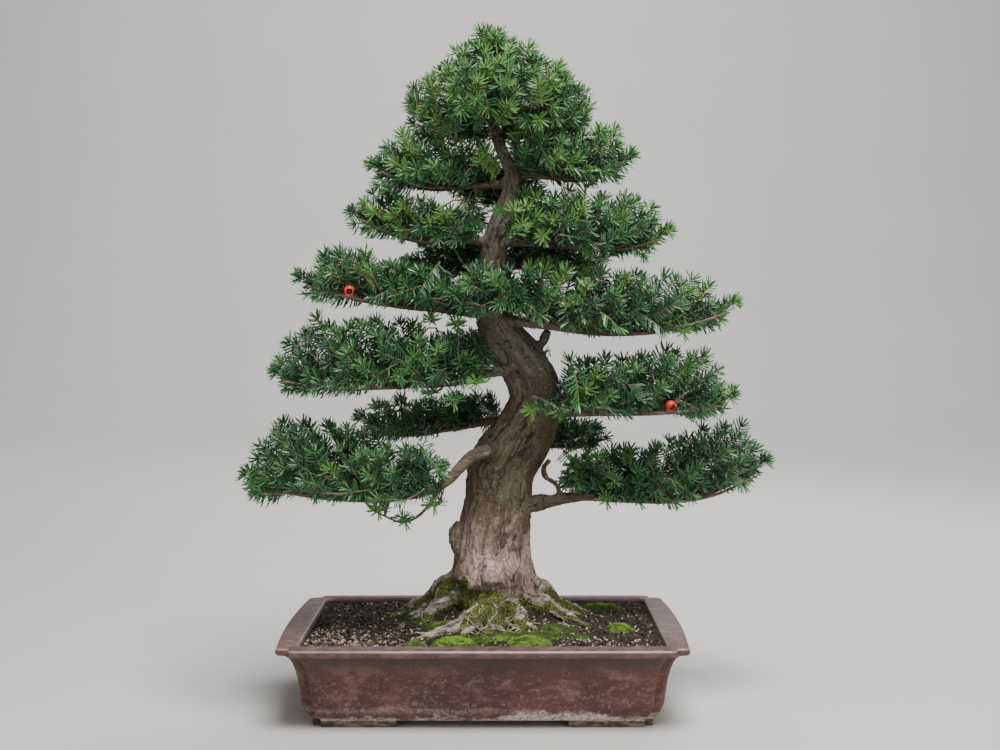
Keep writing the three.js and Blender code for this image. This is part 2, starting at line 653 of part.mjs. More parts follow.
// A pad of foliage on a branch: a spine that goes on from the bare wood, side twigs, and shoots that stand on
// them. A twig that would touch another pad is tried again shorter.
function makePad(name, branch) {
  const spray = new Spray(`foliage_${name}`, branch.seed);
  const draw = draws(branch.seed + 100);
  const curve = branchCurve(branch);
  const green = branch.wood + GAP / curve.getLength();
  const spot = (along) => mix(green, 1, along);
  spray.stem(curve, (place) => branchRadius(branch, place), 4, evenly(4, green, 1), true);
  for (const [index, { root, way, reach, crest }] of sideTwigs(branch, curve, green, draw).entries()) {
    const standUp = draw(0.6, 0.95);
    for (const shrink of [1, 0.75, 0.5]) {
      const end = root.clone().addScaledVector(way, reach * shrink).addScaledVector(UP, crest * shrink);
      const knee = root.clone().lerp(end, 0.5).addScaledVector(UP, -crest * 0.2);
      const twig = new THREE.QuadraticBezierCurve3(root, knee, end);
      const shoot = spray.shoot(twig);
      if (!shoot) continue;
      if (index % 3 === 1 || reach < 36) break;
      const up = way.clone().multiplyScalar(draw(0.1, 0.6)).addScaledVector(UP, 1);
      const height = Math.max(26, branch.rise - crest - NEEDLE_LENGTH) * draw(0.65, 0.95);
      spray.shoot(risingCurve(twig.getPointAt(standUp * shoot.bare), up, height, 0.2));
      break;
    }
  }
  for (const along of evenly(branch.tops, 0.15, 0.85).slice(0, branch.tops)) {
    const up = curve.getTangentAt(spot(along)).multiplyScalar(draw(-0.2, 0.5)).addScaledVector(UP, 1);
    up.y += draw(-0.4, 0.4);
    spray.shoot(risingCurve(curve.getPointAt(spot(along)), up, branch.rise * draw(0.72, 0.88), 0.2));
  }
  for (const along of evenly(branch.hang, 0.2, 0.6).slice(0, branch.hang)) {
    const down = vec(draw(-0.6, 0.4), -1, -0.9);
    spray.shoot(risingCurve(curve.getPointAt(spot(along)), down, 40, 0));
  }
  spray.shoot(risingCurve(curve.getPointAt(spot(0.88)), curve.getTangentAt(spot(0.88)), 40, 0.35));
  return spray;
}

// The crown: a leader that goes on from the trunk, with whorls of twigs. Each whorl is
// [share of the leader, reach, number of twigs, rise of each twig].
const CROWN_WHORLS = [
  [0.06, 96, 7, -18],
  [0.16, 86, 7, 16],
  [0.42, 66, 6, 22],
  [0.68, 40, 4, 18],
];

function makeCrown() {
  const spray = new Spray("foliage_crown", 31);
  const draw = draws(131);
  const green = TRUNK_WOOD + GAP / trunkCurve.getLength();
  spray.stem(trunkCurve, trunkGirth, 5, evenly(4, green, 1), true);
  for (const [along, reach, count, lift] of CROWN_WHORLS) {
    const start = draw(0, Math.PI);
    const root = trunkCurve.getPointAt(mix(green, 1, along));
    for (let k = 0; k < count; k += 1) {
      const angle = start + ((k + draw(-0.15, 0.15)) / count) * 2 * Math.PI;
      const way = vec(Math.cos(angle) * 1.12 + 0.12, Math.sin(angle) * 0.95, 0);
      const end = root.clone().addScaledVector(way, reach * draw(0.85, 1)).addScaledVector(UP, lift);
      const knee = root.clone().lerp(end, 0.5).addScaledVector(UP, 3);
      spray.shoot(new THREE.QuadraticBezierCurve3(root, knee, end));
    }
  }
  spray.shoot(risingCurve(trunkCurve.getPointAt(mix(green, 1, 0.86)), vec(-0.15, 0, 1), 28, 0));
  return spray;
}

// The arils

// A red aril: a fleshy cup, open at its end, with the seed sitting inside. Each hangs at the end of a stalk.
const ARIL_RADIUS = 6;
const ARIL_FOOT = 5.6;
const ARILS = {
  left: { host: "upper_left", at: vec(-152, -78, 482), lean: vec(0.15, -0.8, -0.25) },
  right: { host: "middle_right", at: vec(212, -84, 352), lean: vec(0.3, -0.7, -0.45) },
};

// [radius, height] down the outside of the cup from its foot, over the lip and back inside to the middle.
const ARIL_PROFILE = [
  [0, -ARIL_FOOT], [3.4, -4.8], [ARIL_RADIUS, 0], [5, 3.8], [3.9, 5], [3.3, 4.4], [3.6, 0.6], [0, -2.8],
];
const SEED_PROFILE = [
  [0, -2.4], [2.9, 0.2], [2.5, 2.6], [0, 4.1],
];

// A turned shape with its axis along lean and its middle at the given place.
function turned(profile, sides, at, lean) {
  const points = profile.map(([radius, height]) => new THREE.Vector2(radius, height));
  const shape = new THREE.LatheGeometry(points, sides);
  shape.applyQuaternion(new THREE.Quaternion().setFromUnitVectors(vec(0, 1, 0), lean.clone().normalize()));
  return latheSolid(shape.translate(at.x, at.y, at.z));
}

// A lathe's poles hold faces without area: they go when the shared points are merged.
function latheSolid(shape) {
  shape.deleteAttribute("normal");
  shape.deleteAttribute("uv");
  const merged = mergeVertices(shape, 1e-3);
  const corners = merged.index.array;
  const kept = [];
  for (let i = 0; i < corners.length; i += 3) {
    const [a, b, c] = [corners[i], corners[i + 1], corners[i + 2]];
    if (a !== b && b !== c && a !== c) kept.push(a, b, c);
  }
  const vertProperties = merged.attributes.position.array;
  return new Manifold(new wasm.Mesh({ numProp: 3, vertProperties, triVerts: new Uint32Array(kept) }));
}

// The stalk from the host's nearest twig to the aril's foot.
function hangAril(spray, { at, lean }) {
  const axis = lean.clone().normalize();
  const foot = at.clone().addScaledVector(axis, -ARIL_FOOT - GAP);
  const twigs = [...spray.stems, ...spray.shoots.flatMap(({ core }) => core)];
  const near = twigs.map(({ a, b }) => new THREE.Line3(a, b).closestPointToPoint(foot, true, vec(0, 0, 0)));
  near.sort((a, b) => a.distanceTo(foot) - b.distanceTo(foot));
  const bend = foot.clone().addScaledVector(axis, -near[0].distanceTo(foot) * 0.5);
  const stalk = new THREE.QuadraticBezierCurve3(near[0], bend, foot);
  spray.stem(stalk, () => 1, 4, evenly(3));
}

// The assembly

const paint = (color, roughness) => new THREE.MeshStandardMaterial({ color, roughness, metalness: 0 });
const MATERIALS = {
  clay: paint("#6a4238", 0.62),
  plastic: paint("#1d1f1e", 0.6),
  soil: paint("#2b2620", 0.95),
  bark: paint("#86715c", 0.9),
  foliage: paint("#3d6b3c", 0.5),
  moss: paint("#5c7d1c", 0.95),
  aril: paint("#c8202a", 0.35),
  seed: paint("#3a2618", 0.4),
};

const bonsai = new THREE.Group();

// The biggest body of a solid: a scrap that lost its hold is dropped, and a sealed bubble is filled.
const largest = (solid) => solid.decompose().sort((a, b) => b.volume() - a.volume())[0];

function addNode(name, solid, material) {
  const { vertProperties, triVerts } = largest(solid.asOriginal().simplify(0.1)).getMesh();
  const geometry = new THREE.BufferGeometry();
  geometry.setAttribute("position", new THREE.BufferAttribute(new Float32Array(vertProperties), 3));
  geometry.setIndex(new THREE.BufferAttribute(new Uint32Array(triVerts), 1));
  geometry.computeVertexNormals();
  const mesh = new THREE.Mesh(geometry, MATERIALS[material]);
  mesh.name = name;
  bonsai.add(mesh);
}

addNode("pot", makePot(), "clay");
addNode("drain_screen_left", makeScreen(-DRAIN_X), "plastic");
addNode("drain_screen_right", makeScreen(DRAIN_X), "plastic");

// The soil fills the pot, less the trunk and roots, grown by the gap, and a pocket for each screen.
const hole = Manifold.union([trunkSolid(GAP), ...ROOTS.map((root) => rootLimb(root, GAP))]);
const cavityBody = stack(
  [FLOOR_TOP + GAP, 22, 70, POT_HEIGHT + 40].map((z) => [z, cavityOutline(Math.min(z, POT_HEIGHT + 1), GAP)]),
);
const pockets = [-DRAIN_X, DRAIN_X].map((x) =>
  box(SCREEN_SIZE + 2 * GAP, SCREEN_SIZE + 2 * GAP, 2 * (SCREEN_THICKNESS + 2 * GAP), x, 0, FLOOR_TOP),
);
addNode("soil", soilBlock().intersect(cavityBody).subtract(Manifold.union([hole, ...pockets])), "soil");

addNode("trunk_and_branches", makeWood(), "bark");

const soilUnderMoss = soilBlock(GAP);
for (const cushion of MOSS) {
  addNode(cushion[0], mossDome(cushion).intersect(cavityBody).subtract(soilUnderMoss.add(hole)), "moss");
}

rememberWood();
for (const [side, { at, lean }] of Object.entries(ARILS)) {
  const axis = lean.clone().normalize();
  const [low, high] = [-0.2, 1].map((share) => at.clone().addScaledVector(axis, share * ARIL_RADIUS));
  standing.set(`aril_${side}`, [bar(low, high, ARIL_RADIUS)]);
  addNode(`aril_${side}`, turned(ARIL_PROFILE, 9, at, lean), "aril");
  addNode(`seed_${side}`, turned(SEED_PROFILE, 6, at, lean), "seed");
}
for (const [name, branch] of Object.entries(BRANCHES)) {
  const spray = makePad(name, branch);
  for (const aril of Object.values(ARILS)) {
    if (aril.host === name) hangAril(spray, aril);
  }
  addNode(spray.name, spray.finish(), "foliage");
}
const crown = makeCrown();
addNode(crown.name, crown.finish(), "foliage");

// The origin is under the middle of the whole outline, at the level of the feet.
const outline = new THREE.Box3().setFromObject(bonsai);
const middle = outline.getCenter(vec(0, 0, 0));
bonsai.position.set(-middle.x, -middle.y, 0);

export default bonsai;
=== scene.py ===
import bisect
import math
import random

import bmesh
import bpy
from mathutils import Matrix, Vector, kdtree, noise
from mathutils.bvhtree import BVHTree


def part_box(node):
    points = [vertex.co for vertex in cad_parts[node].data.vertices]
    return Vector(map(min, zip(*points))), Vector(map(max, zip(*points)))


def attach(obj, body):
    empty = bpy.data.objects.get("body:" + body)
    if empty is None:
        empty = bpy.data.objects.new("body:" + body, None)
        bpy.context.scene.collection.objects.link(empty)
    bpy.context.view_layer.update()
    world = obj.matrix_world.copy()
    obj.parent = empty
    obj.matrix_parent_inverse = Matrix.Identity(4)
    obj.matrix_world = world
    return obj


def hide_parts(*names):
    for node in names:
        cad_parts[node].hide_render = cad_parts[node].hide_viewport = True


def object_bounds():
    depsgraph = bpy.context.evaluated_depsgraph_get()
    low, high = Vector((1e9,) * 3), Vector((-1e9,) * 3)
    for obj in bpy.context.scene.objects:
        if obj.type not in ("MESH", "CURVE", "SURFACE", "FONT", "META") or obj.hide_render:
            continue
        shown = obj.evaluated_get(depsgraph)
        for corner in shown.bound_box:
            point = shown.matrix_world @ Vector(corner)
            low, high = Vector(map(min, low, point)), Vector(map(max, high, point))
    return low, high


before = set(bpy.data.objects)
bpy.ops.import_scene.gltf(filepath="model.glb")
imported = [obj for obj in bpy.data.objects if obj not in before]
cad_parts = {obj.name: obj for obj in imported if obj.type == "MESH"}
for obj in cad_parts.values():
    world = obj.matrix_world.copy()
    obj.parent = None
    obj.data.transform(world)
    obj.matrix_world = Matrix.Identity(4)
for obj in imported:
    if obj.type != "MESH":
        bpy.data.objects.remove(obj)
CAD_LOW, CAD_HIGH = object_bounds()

# A Japanese yew bonsai in its rectangular unglazed pot. Every piece is modelled in millimetres from the
# middle of the pot's foot, with the front towards -Y, and put into the frame when it is finished.
MM = 0.001
POT_LOW, POT_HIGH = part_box("pot")
POT_MIDDLE = Vector(((POT_LOW[0] + POT_HIGH[0]) / 2, (POT_LOW[1] + POT_HIGH[1]) / 2, 0))
TO_FRAME = Matrix.Translation(POT_MIDDLE) @ Matrix.Scale(MM, 4)
UP = Vector((0, 0, 1))

# The pot.
POT_WIDTH = 450
POT_DEPTH = 362
# How far the straight sides bow out in their middles.
SIDE_BOW = 7
FRONT_BOW = 2.5
POT_HEIGHT = 93
RIM_WIDTH = 22
FLOOR_TOP = 16
FOOT_HEIGHT = 7.5
DRAIN_RADIUS = 13
DRAIN_X = 95
# The outside from the base to the rim: [height, inset from the rim's edge, depth of the corner notch].
WALL = [
    (FOOT_HEIGHT, 38, 10),
    (9, 34.9, 10.4),
    (11, 33, 10.6),
    (13, 31.3, 10.8),
    (15.5, 30, 11),
    (19, 28.6, 11),
    (22.6, 27.4, 11),
    (23.2, 26.4, 11),
    (26, 25.9, 11),
    (40, 24.2, 11.6),
    (54, 22, 12),
    (66, 19, 12.5),
    (73, 16.2, 12.8),
    (78, 13, 13),
    (81, 9.8, 13.4),
    (82.8, 5.5, 13.8),
    (83.6, 1.2, 14),
    (85.4, 0, 14),
    (88.4, 0, 14),
    (90.4, 0.6, 14),
    (91.9, 1.9, 14),
    (92.7, 3.6, 14),
    (POT_HEIGHT, 5.6, 14),
]
# The inside from the rim down to the floor: [height, inset], with rounded corners.
CAVITY = [
    (POT_HEIGHT, RIM_WIDTH - 1.4), (91.6, RIM_WIDTH + 0.2), (70, RIM_WIDTH + 6), (22, 41), (FLOOR_TOP, 46),
]
CAVITY_CORNER = 12
# The L-shaped feet: inset from the rim's edge, lengths along front and side, breadth, notch and slant.
FOOT = {"inset": 36, "length": 95, "side_length": 74, "breadth": 24, "notch": 10, "slant": 8}

# The soil: its level at the rim, and the mound that carries the roots, with how far it reaches.
SOIL_EDGE_Z = 87
MOUND_HEIGHT = 23
MOUND_REACH = (150, 105)
TRUNK_FOOT = (12, 25)

# The trunk: [x, y, z, radius] from below the soil to the apex of the crown.
TRUNK = [
    (10, 25, 52, 50), (12, 25, 92, 70), (11, 25, 112, 62), (8, 26, 141, 52), (8, 27, 166, 46),
    (10, 28, 194, 43.5), (17, 30, 231, 41), (21, 32, 270, 41), (38, 35, 298, 40), (52, 36, 324, 35.5),
    (61, 34, 354, 32), (57, 30, 376, 32), (42, 26, 404, 30.5), (24, 21, 428, 27), (13, 16, 452, 22.5),
    (9, 11, 484, 18.5), (9, 8, 512, 16.5), (13, 6, 542, 16), (22, 7, 572, 13.5), (31, 9, 602, 10.5),
    (32, 11, 622, 9.3), (18, 12, 656, 7.3), (13, 11, 676, 6.3), (8, 9, 710, 5), (4, 5, 752, 3.2),
    (3, 2, 786, 1.4),
]
# The old knuckle low on the trunk's left, where a branch was taken off.
KNUCKLE = Vector((-32, 14, 189))
KNUCKLE_RADIUS = 13

# The surface roots: [x, y, height over the soil] points, with the first and last radius.
ROOTS = [
    ([(-8, 26, 42), (-40, 32, 26), (-67, 36, 12), (-98, 34, 3), (-124, 20, -6)], (30, 4)),
    ([(-22, 20, 14), (-58, 10, 5), (-80, -12, 0), (-94, -32, -6)], (20, 3)),
    ([(5, 0, 14), (-8, -38, 7), (-38, -66, 3), (-66, -86, 1), (-90, -106, -6)], (22, 4)),
    ([(8, -20, 8), (14, -48, 3), (4, -72, -1), (2, -86, -6)], (12, 3)),
    ([(26, -6, 12), (42, -26, 4), (46, -46, -1), (58, -62, -7)], (17, 4)),
    ([(36, 12, 16), (74, 8, 6), (104, -8, 1), (126, -22, -6)], (22, 4)),
    ([(28, 28, 36), (60, 36, 19), (92, 44, 6), (124, 46, 1), (148, 36, -6)], (28, 4)),
    ([(24, 60, 14), (44, 92, 4), (76, 112, -6)], (22, 5)),
    ([(-10, 58, 14), (-34, 90, 4), (-62, 110, -6)], (22, 5)),
]

# The branches. line: from inside the trunk to the furthest tip. radii: at the trunk and at the tip. bare: the
# share of the line without foliage. front, back: how far the twigs spread. rise: how high the pad stands.
# near, far: how full it is at the trunk and at the tip, where it isn't as full as elsewhere.
# stars: where single sprigs look out at the front.
# spray: a thin side branch that hangs below and carries them.
BRANCHES = {
    "low_left": {
        "line": [(22, 12, 292), (-12, -30, 291), (-50, -58, 258), (-101, -68, 246), (-175, -68, 250),
                 (-264, -60, 268)],
        "radii": (12, 2.2), "bare": 0.31, "front": 60, "back": 98, "rise": 75, "near": 0.6,
        "spray": [(-50, -58, 258), (-60, -66, 240), (-76, -72, 224), (-92, -74, 218), (-122, -74, 230)],
        "stars": [(-121, -104, 231), (-88, -104, 219), (-58, -104, 238)],
    },
    "low_right": {
        "line": [(30, 22, 226), (70, 8, 232), (114, 2, 240), (196, 0, 236), (256, 2, 243), (326, 8, 276)],
        "radii": (12, 2.2), "bare": 0.24, "front": 52, "back": 94, "rise": 68, "near": 0.8,
        "stars": [(140, -50, 238), (182, -48, 236)],
    },
    "back_low_left": {
        "line": [(40, 40, 322), (12, 74, 325), (-40, 112, 313), (-100, 138, 306), (-150, 146, 318)],
        "radii": (10, 2), "bare": 0.3, "front": 50, "back": 56, "rise": 42,
    },
    "back_low_right": {
        "line": [(44, 44, 296), (74, 82, 294), (100, 118, 292), (132, 154, 304)],
        "radii": (9, 2), "bare": 0.3, "front": 45, "back": 55, "rise": 22,
    },
    "middle_left": {
        "line": [(44, 18, 392), (5, -16, 387), (-39, -38, 376), (-108, -44, 374), (-177, -44, 373),
                 (-234, -44, 384)],
        "radii": (10, 2.2), "bare": 0.14, "front": 56, "back": 84, "rise": 78, "near": 0.35,
        "stars": [(-62, -84, 360), (-36, -88, 354), (-8, -84, 372)],
    },
    "middle_right": {
        "line": [(60, 20, 344), (92, -10, 341), (135, -28, 341), (204, -36, 343), (280, -36, 356)],
        "radii": (10, 2.2), "bare": 0.08, "front": 56, "back": 78, "rise": 66,
        "stars": [(52, -60, 340), (70, -56, 346), (84, -66, 338), (232, -72, 340)],
    },
    "back_middle": {
        "line": [(42, 36, 398), (22, 76, 400), (-14, 116, 396), (-50, 150, 406)],
        "radii": (9, 2), "bare": 0.3, "front": 60, "back": 60, "rise": 28,
    },
    "upper_left": {
        "line": [(16, 12, 458), (-12, -10, 456), (-45, -24, 460), (-120, -30, 468), (-206, -28, 492)],
        "radii": (8, 2), "bare": 0.1, "front": 50, "back": 68, "rise": 51, "near": 0.6,
        "stars": [(-60, -66, 446), (-30, -60, 440)],
    },
    "upper_right": {
        "line": [(14, 14, 450), (40, -8, 447), (72, -16, 443), (136, -20, 434), (200, -20, 436),
                 (286, -18, 462)],
        "radii": (10, 2.2), "bare": 0.06, "front": 56, "back": 76, "rise": 76, "far": 0.66,
        "stars": [(228, -62, 432), (36, -52, 470)],
    },
    "front_small": {
        "line": [(14, 12, 470), (12, -22, 466), (-4, -52, 464), (-30, -70, 472)],
        "radii": (6, 1.8), "bare": 0.3, "front": 34, "back": 34, "rise": 46,
    },
    "back_upper_left": {
        "line": [(8, 12, 504), (-18, 46, 507), (-54, 80, 505), (-88, 102, 514)],
        "radii": (7, 1.8), "bare": 0.25, "front": 46, "back": 46, "rise": 36,
    },
    "back_upper_right": {
        "line": [(10, 12, 512), (46, 44, 512), (92, 78, 508), (136, 98, 516)],
        "radii": (7, 1.8), "bare": 0.25, "front": 46, "back": 50, "rise": 36,
    },
    "high_left": {
        "line": [(13, 6, 542), (-14, -2, 542), (-50, -8, 538), (-98, -12, 547), (-148, -12, 570)],
        "radii": (7, 1.8), "bare": 0.06, "front": 44, "back": 54, "rise": 46, "near": 0.7,
    },
    "high_right": {
        "line": [(13, 6, 540), (40, -4, 539), (101, -12, 534), (160, -12, 532), (208, -10, 546)],
        "radii": (7, 1.8), "bare": 0.02, "front": 50, "back": 60, "rise": 66,
        "stars": [(150, -46, 524), (122, -50, 522), (16, -50, 572), (2, -46, 560)],
    },
    "back_high": {
        "line": [(26, 8, 586), (24, 44, 590), (18, 76, 592), (10, 106, 604)],
        "radii": (6, 1.8), "bare": 0.25, "front": 46, "back": 46, "rise": 36,
    },
    "top_left": {
        "line": [(31, 10, 612), (4, 2, 607), (-30, -4, 604), (-66, -6, 603), (-124, -8, 624)],
        "radii": (6, 1.8), "bare": 0.04, "front": 44, "back": 48, "rise": 58, "stars": [(-4, -40, 634)],
    },
    "top_right": {
        "line": [(32, 10, 618), (60, -2, 617), (100, -8, 613), (130, -8, 616), (166, -8, 636)],
        "radii": (6, 1.8), "bare": 0.0, "front": 44, "back": 48, "rise": 58,
    },
}

# The foliage: a needle, and the sprigs that carry them.
NEEDLE_LENGTH = 15.5
NEEDLE_WIDTH = 1.95
NEEDLE_THICKNESS = 0.8
NEEDLE_STEP = 3.2
STAR_NEEDLES = 13
# How far the needles of a sprig's star reach past its bud.
STAR_REACH = NEEDLE_LENGTH * 0.55
# The needles inside a pad, which only make it dark.
INSIDE_WIDTH = 2.6
INSIDE_STEP = 2.9
SPRIG_LENGTHS = (22, 32, 44)
SPRIG_AGES = (0.0, 0.35, 0.75)
# The draws past which a sprig gets the second and the third age.
AGE_STEPS = (0.42, 0.86)
SPRIG_SORTS = 2
# The age that stands for the plain, dark sprigs inside a pad.
INSIDE = -1
# The layers of sprigs in a pad: [size of the layer, how far apart the tips stand at least].
LAYERS = [(1.0, 16.4), (0.72, 18), (0.42, 20)]
# How many places are tried in a layer.
DARTS = 1000
# Where the wood shows at the front, free of foliage: [lowest x, highest x, lowest z, highest z].
WINDOWS = [
    (18, 42, 612, 640), (8, 28, 640, 674), (-2, 30, 512, 568), (-10, 52, 422, 458), (6, 82, 398, 424),
    (24, 96, 362, 400), (-44, -8, 236, 292),
]

# The crown's outline: [height, reach, x of its middle], and the sprigs that make its peak: [tip, way].
CROWN = [
    (668, 80, 8), (684, 100, 16), (704, 105, 17), (722, 101, 16), (740, 84, 16), (758, 60, 15), (776, 28, 14),
    (786, 12, 7), (793, 5, 5),
]
PEAK = [
    ((4, 0, 796), (0.05, 0, 1)), ((-9, -5, 789), (-0.5, -0.2, 0.8)), ((15, -4, 785), (0.5, -0.1, 0.8)),
    ((6, -14, 780), (0.1, -0.7, 0.7)), ((2, 14, 780), (0, 0.6, 0.8)), ((27, -6, 774), (0.8, -0.3, 0.6)),
]

# The moss cushions: [x, y, half width, half depth, height], by node name.
MOSS = {
    "moss_front_left": (-32, -134, 27, 20, 12),
    "moss_front_right": (52, -130, 27, 24, 12),
    "moss_front_far_left": (-74, -139, 13, 12, 8),
    "moss_right": (158, -42, 17, 12, 9),
    "moss_back_right": (146, 98, 26, 20, 8),
}

# The arils: [middle, way that the open end looks], and the room that no needle comes into.
ARILS = {
    "left": (Vector((-152, -78, 482)), Vector((0.15, -0.8, -0.25))),
    "right": (Vector((212, -84, 352)), Vector((0.3, -0.7, -0.45))),
}
ARIL_ROOM = {"aside": 13, "in front": 90, "behind": 14}
# The camera: its place, how far down it looks in degrees, and its lens in millimetres.
CAMERA_SPOT = Vector((18.96, -2007.2, 455.15))
CAMERA_PITCH = 2.04
CAMERA_LENS = 61.3


def mix(low, high, share):
    return low + (high - low) * share


def step_between(low, high, value):
    """0 below low, 1 above high, and a smooth rise between them."""
    share = min(max((value - low) / (high - low), 0), 1)
    return share * share * (3 - 2 * share)


def bell(value, width):
    """1 at 0, and a smooth fall to both sides."""
    return math.exp(-((value / width) ** 2))


def taper(first, last):
    """A radius that goes evenly from first to last."""
    return lambda share: mix(first, last, share)


def table_value(rows, place, column=1):
    """The value in a table of rows that are sorted by their first number."""
    if place <= rows[0][0]:
        return rows[0][column]
    for before, after in zip(rows, rows[1:]):
        if place <= after[0]:
            return mix(before[column], after[column], (place - before[0]) / (after[0] - before[0]))
    return rows[-1][column]


def between(p0, p1, p2, p3, share):
    """A place on the centripetal curve from p1 to p2."""
    t1 = (p1 - p0).length ** 0.5
    t2 = t1 + (p2 - p1).length ** 0.5
    t3 = t2 + (p3 - p2).length ** 0.5
    t = mix(t1, t2, share)
    a1 = p0.lerp(p1, t / t1)
    a2 = p1.lerp(p2, (t - t1) / (t2 - t1))
    a3 = p2.lerp(p3, (t - t2) / (t3 - t2))
    b1 = a1.lerp(a2, t / t2)
    b2 = a2.lerp(a3, (t - t1) / (t3 - t1))
    return b1.lerp(b2, (t - t1) / (t2 - t1))


class Line:
    """A smooth line through points, measured along its length."""

    def __init__(self, points, steps=10):
        points = [Vector(point[:3]) for point in points]
        ends = [2 * points[0] - points[1], *points, 2 * points[-1] - points[-2]]
        self.stations = len(points) - 1
        self.steps = steps
        self.places = [points[0]]
        for k in range(self.stations):
            self.places += [between(*ends[k : k + 4], step / steps) for step in range(1, steps + 1)]
        self.reach = [0.0]
        for here, there in zip(self.places, self.places[1:]):
            self.reach.append(self.reach[-1] + (there - here).length)
        self.length = self.reach[-1]

    def spot(self, share):
        """The place before a share of the length, and how far it is on the way to the next."""
        far = min(max(share, 0), 1) * self.length
        k = min(max(bisect.bisect_left(self.reach, far), 1), len(self.reach) - 1)
        return k - 1, (far - self.reach[k - 1]) / (self.reach[k] - self.reach[k - 1])

    def at(self, share):
        k, part = self.spot(share)
        return self.places[k].lerp(self.places[k + 1], part)

    def ahead(self, share):
        k, _ = self.spot(share)
        return (self.places[k + 1] - self.places[k]).normalized()

    def station(self, share):
        """How far along the row of given points a share of the length is, from 0 to 1."""
        k, part = self.spot(share)
        return (k + part) / (self.steps * self.stations)


TRUNK_LINE = Line(TRUNK)
TRUNK_RADII = [(k / (len(TRUNK) - 1), row[3]) for k, row in enumerate(TRUNK)]
TRUNK_MIDDLES = [(row[2], row[0], row[1], row[3]) for row in TRUNK]


def soil_height(x, y):
    """The level of the soil under its crumbs."""
    away = math.hypot((x - TRUNK_FOOT[0]) / MOUND_REACH[0], (y - TRUNK_FOOT[1]) / MOUND_REACH[1])
    waves = 0.8 * math.sin(x * 0.31 + y * 0.17) * math.cos(y * 0.37 - x * 0.11)
    return SOIL_EDGE_Z + MOUND_HEIGHT * math.exp(-2.4 * away * away) + waves


# Shader maths as plain expressions.
class Value:
    """A socket that adds its Math nodes when it is used in an expression."""

    def __init__(self, finish, socket):
        self.finish = finish
        self.socket = socket

    def maths(self, operation, first, second=0.0, clamp=False):
        settings = {"operation": operation, "use_clamp": clamp}
        return self.finish.node("ShaderNodeMath", settings, {0: first, 1: second})

    def __add__(self, other):
        return self.maths("ADD", self, other)

    def __sub__(self, other):
        return self.maths("SUBTRACT", self, other)

    def __rsub__(self, other):
        return self.maths("SUBTRACT", other, self)

    def __mul__(self, other):
        return self.maths("MULTIPLY", self, other)

    __radd__ = __add__
    __rmul__ = __mul__

    def clamped(self):
        return self.maths("ADD", self, 0.0, clamp=True)

    def between(self, low, high):
        """A smooth mask: 0 where the value is under low, 1 over high, or the other way round."""
        settings = {"interpolation_type": "SMOOTHSTEP"}
        falling = low > high
        limits = {1: high, 2: low, 3: 1.0, 4: 0.0} if falling else {1: low, 2: high, 3: 0.0, 4: 1.0}
        return self.finish.node("ShaderNodeMapRange", settings, {0: self, **limits})


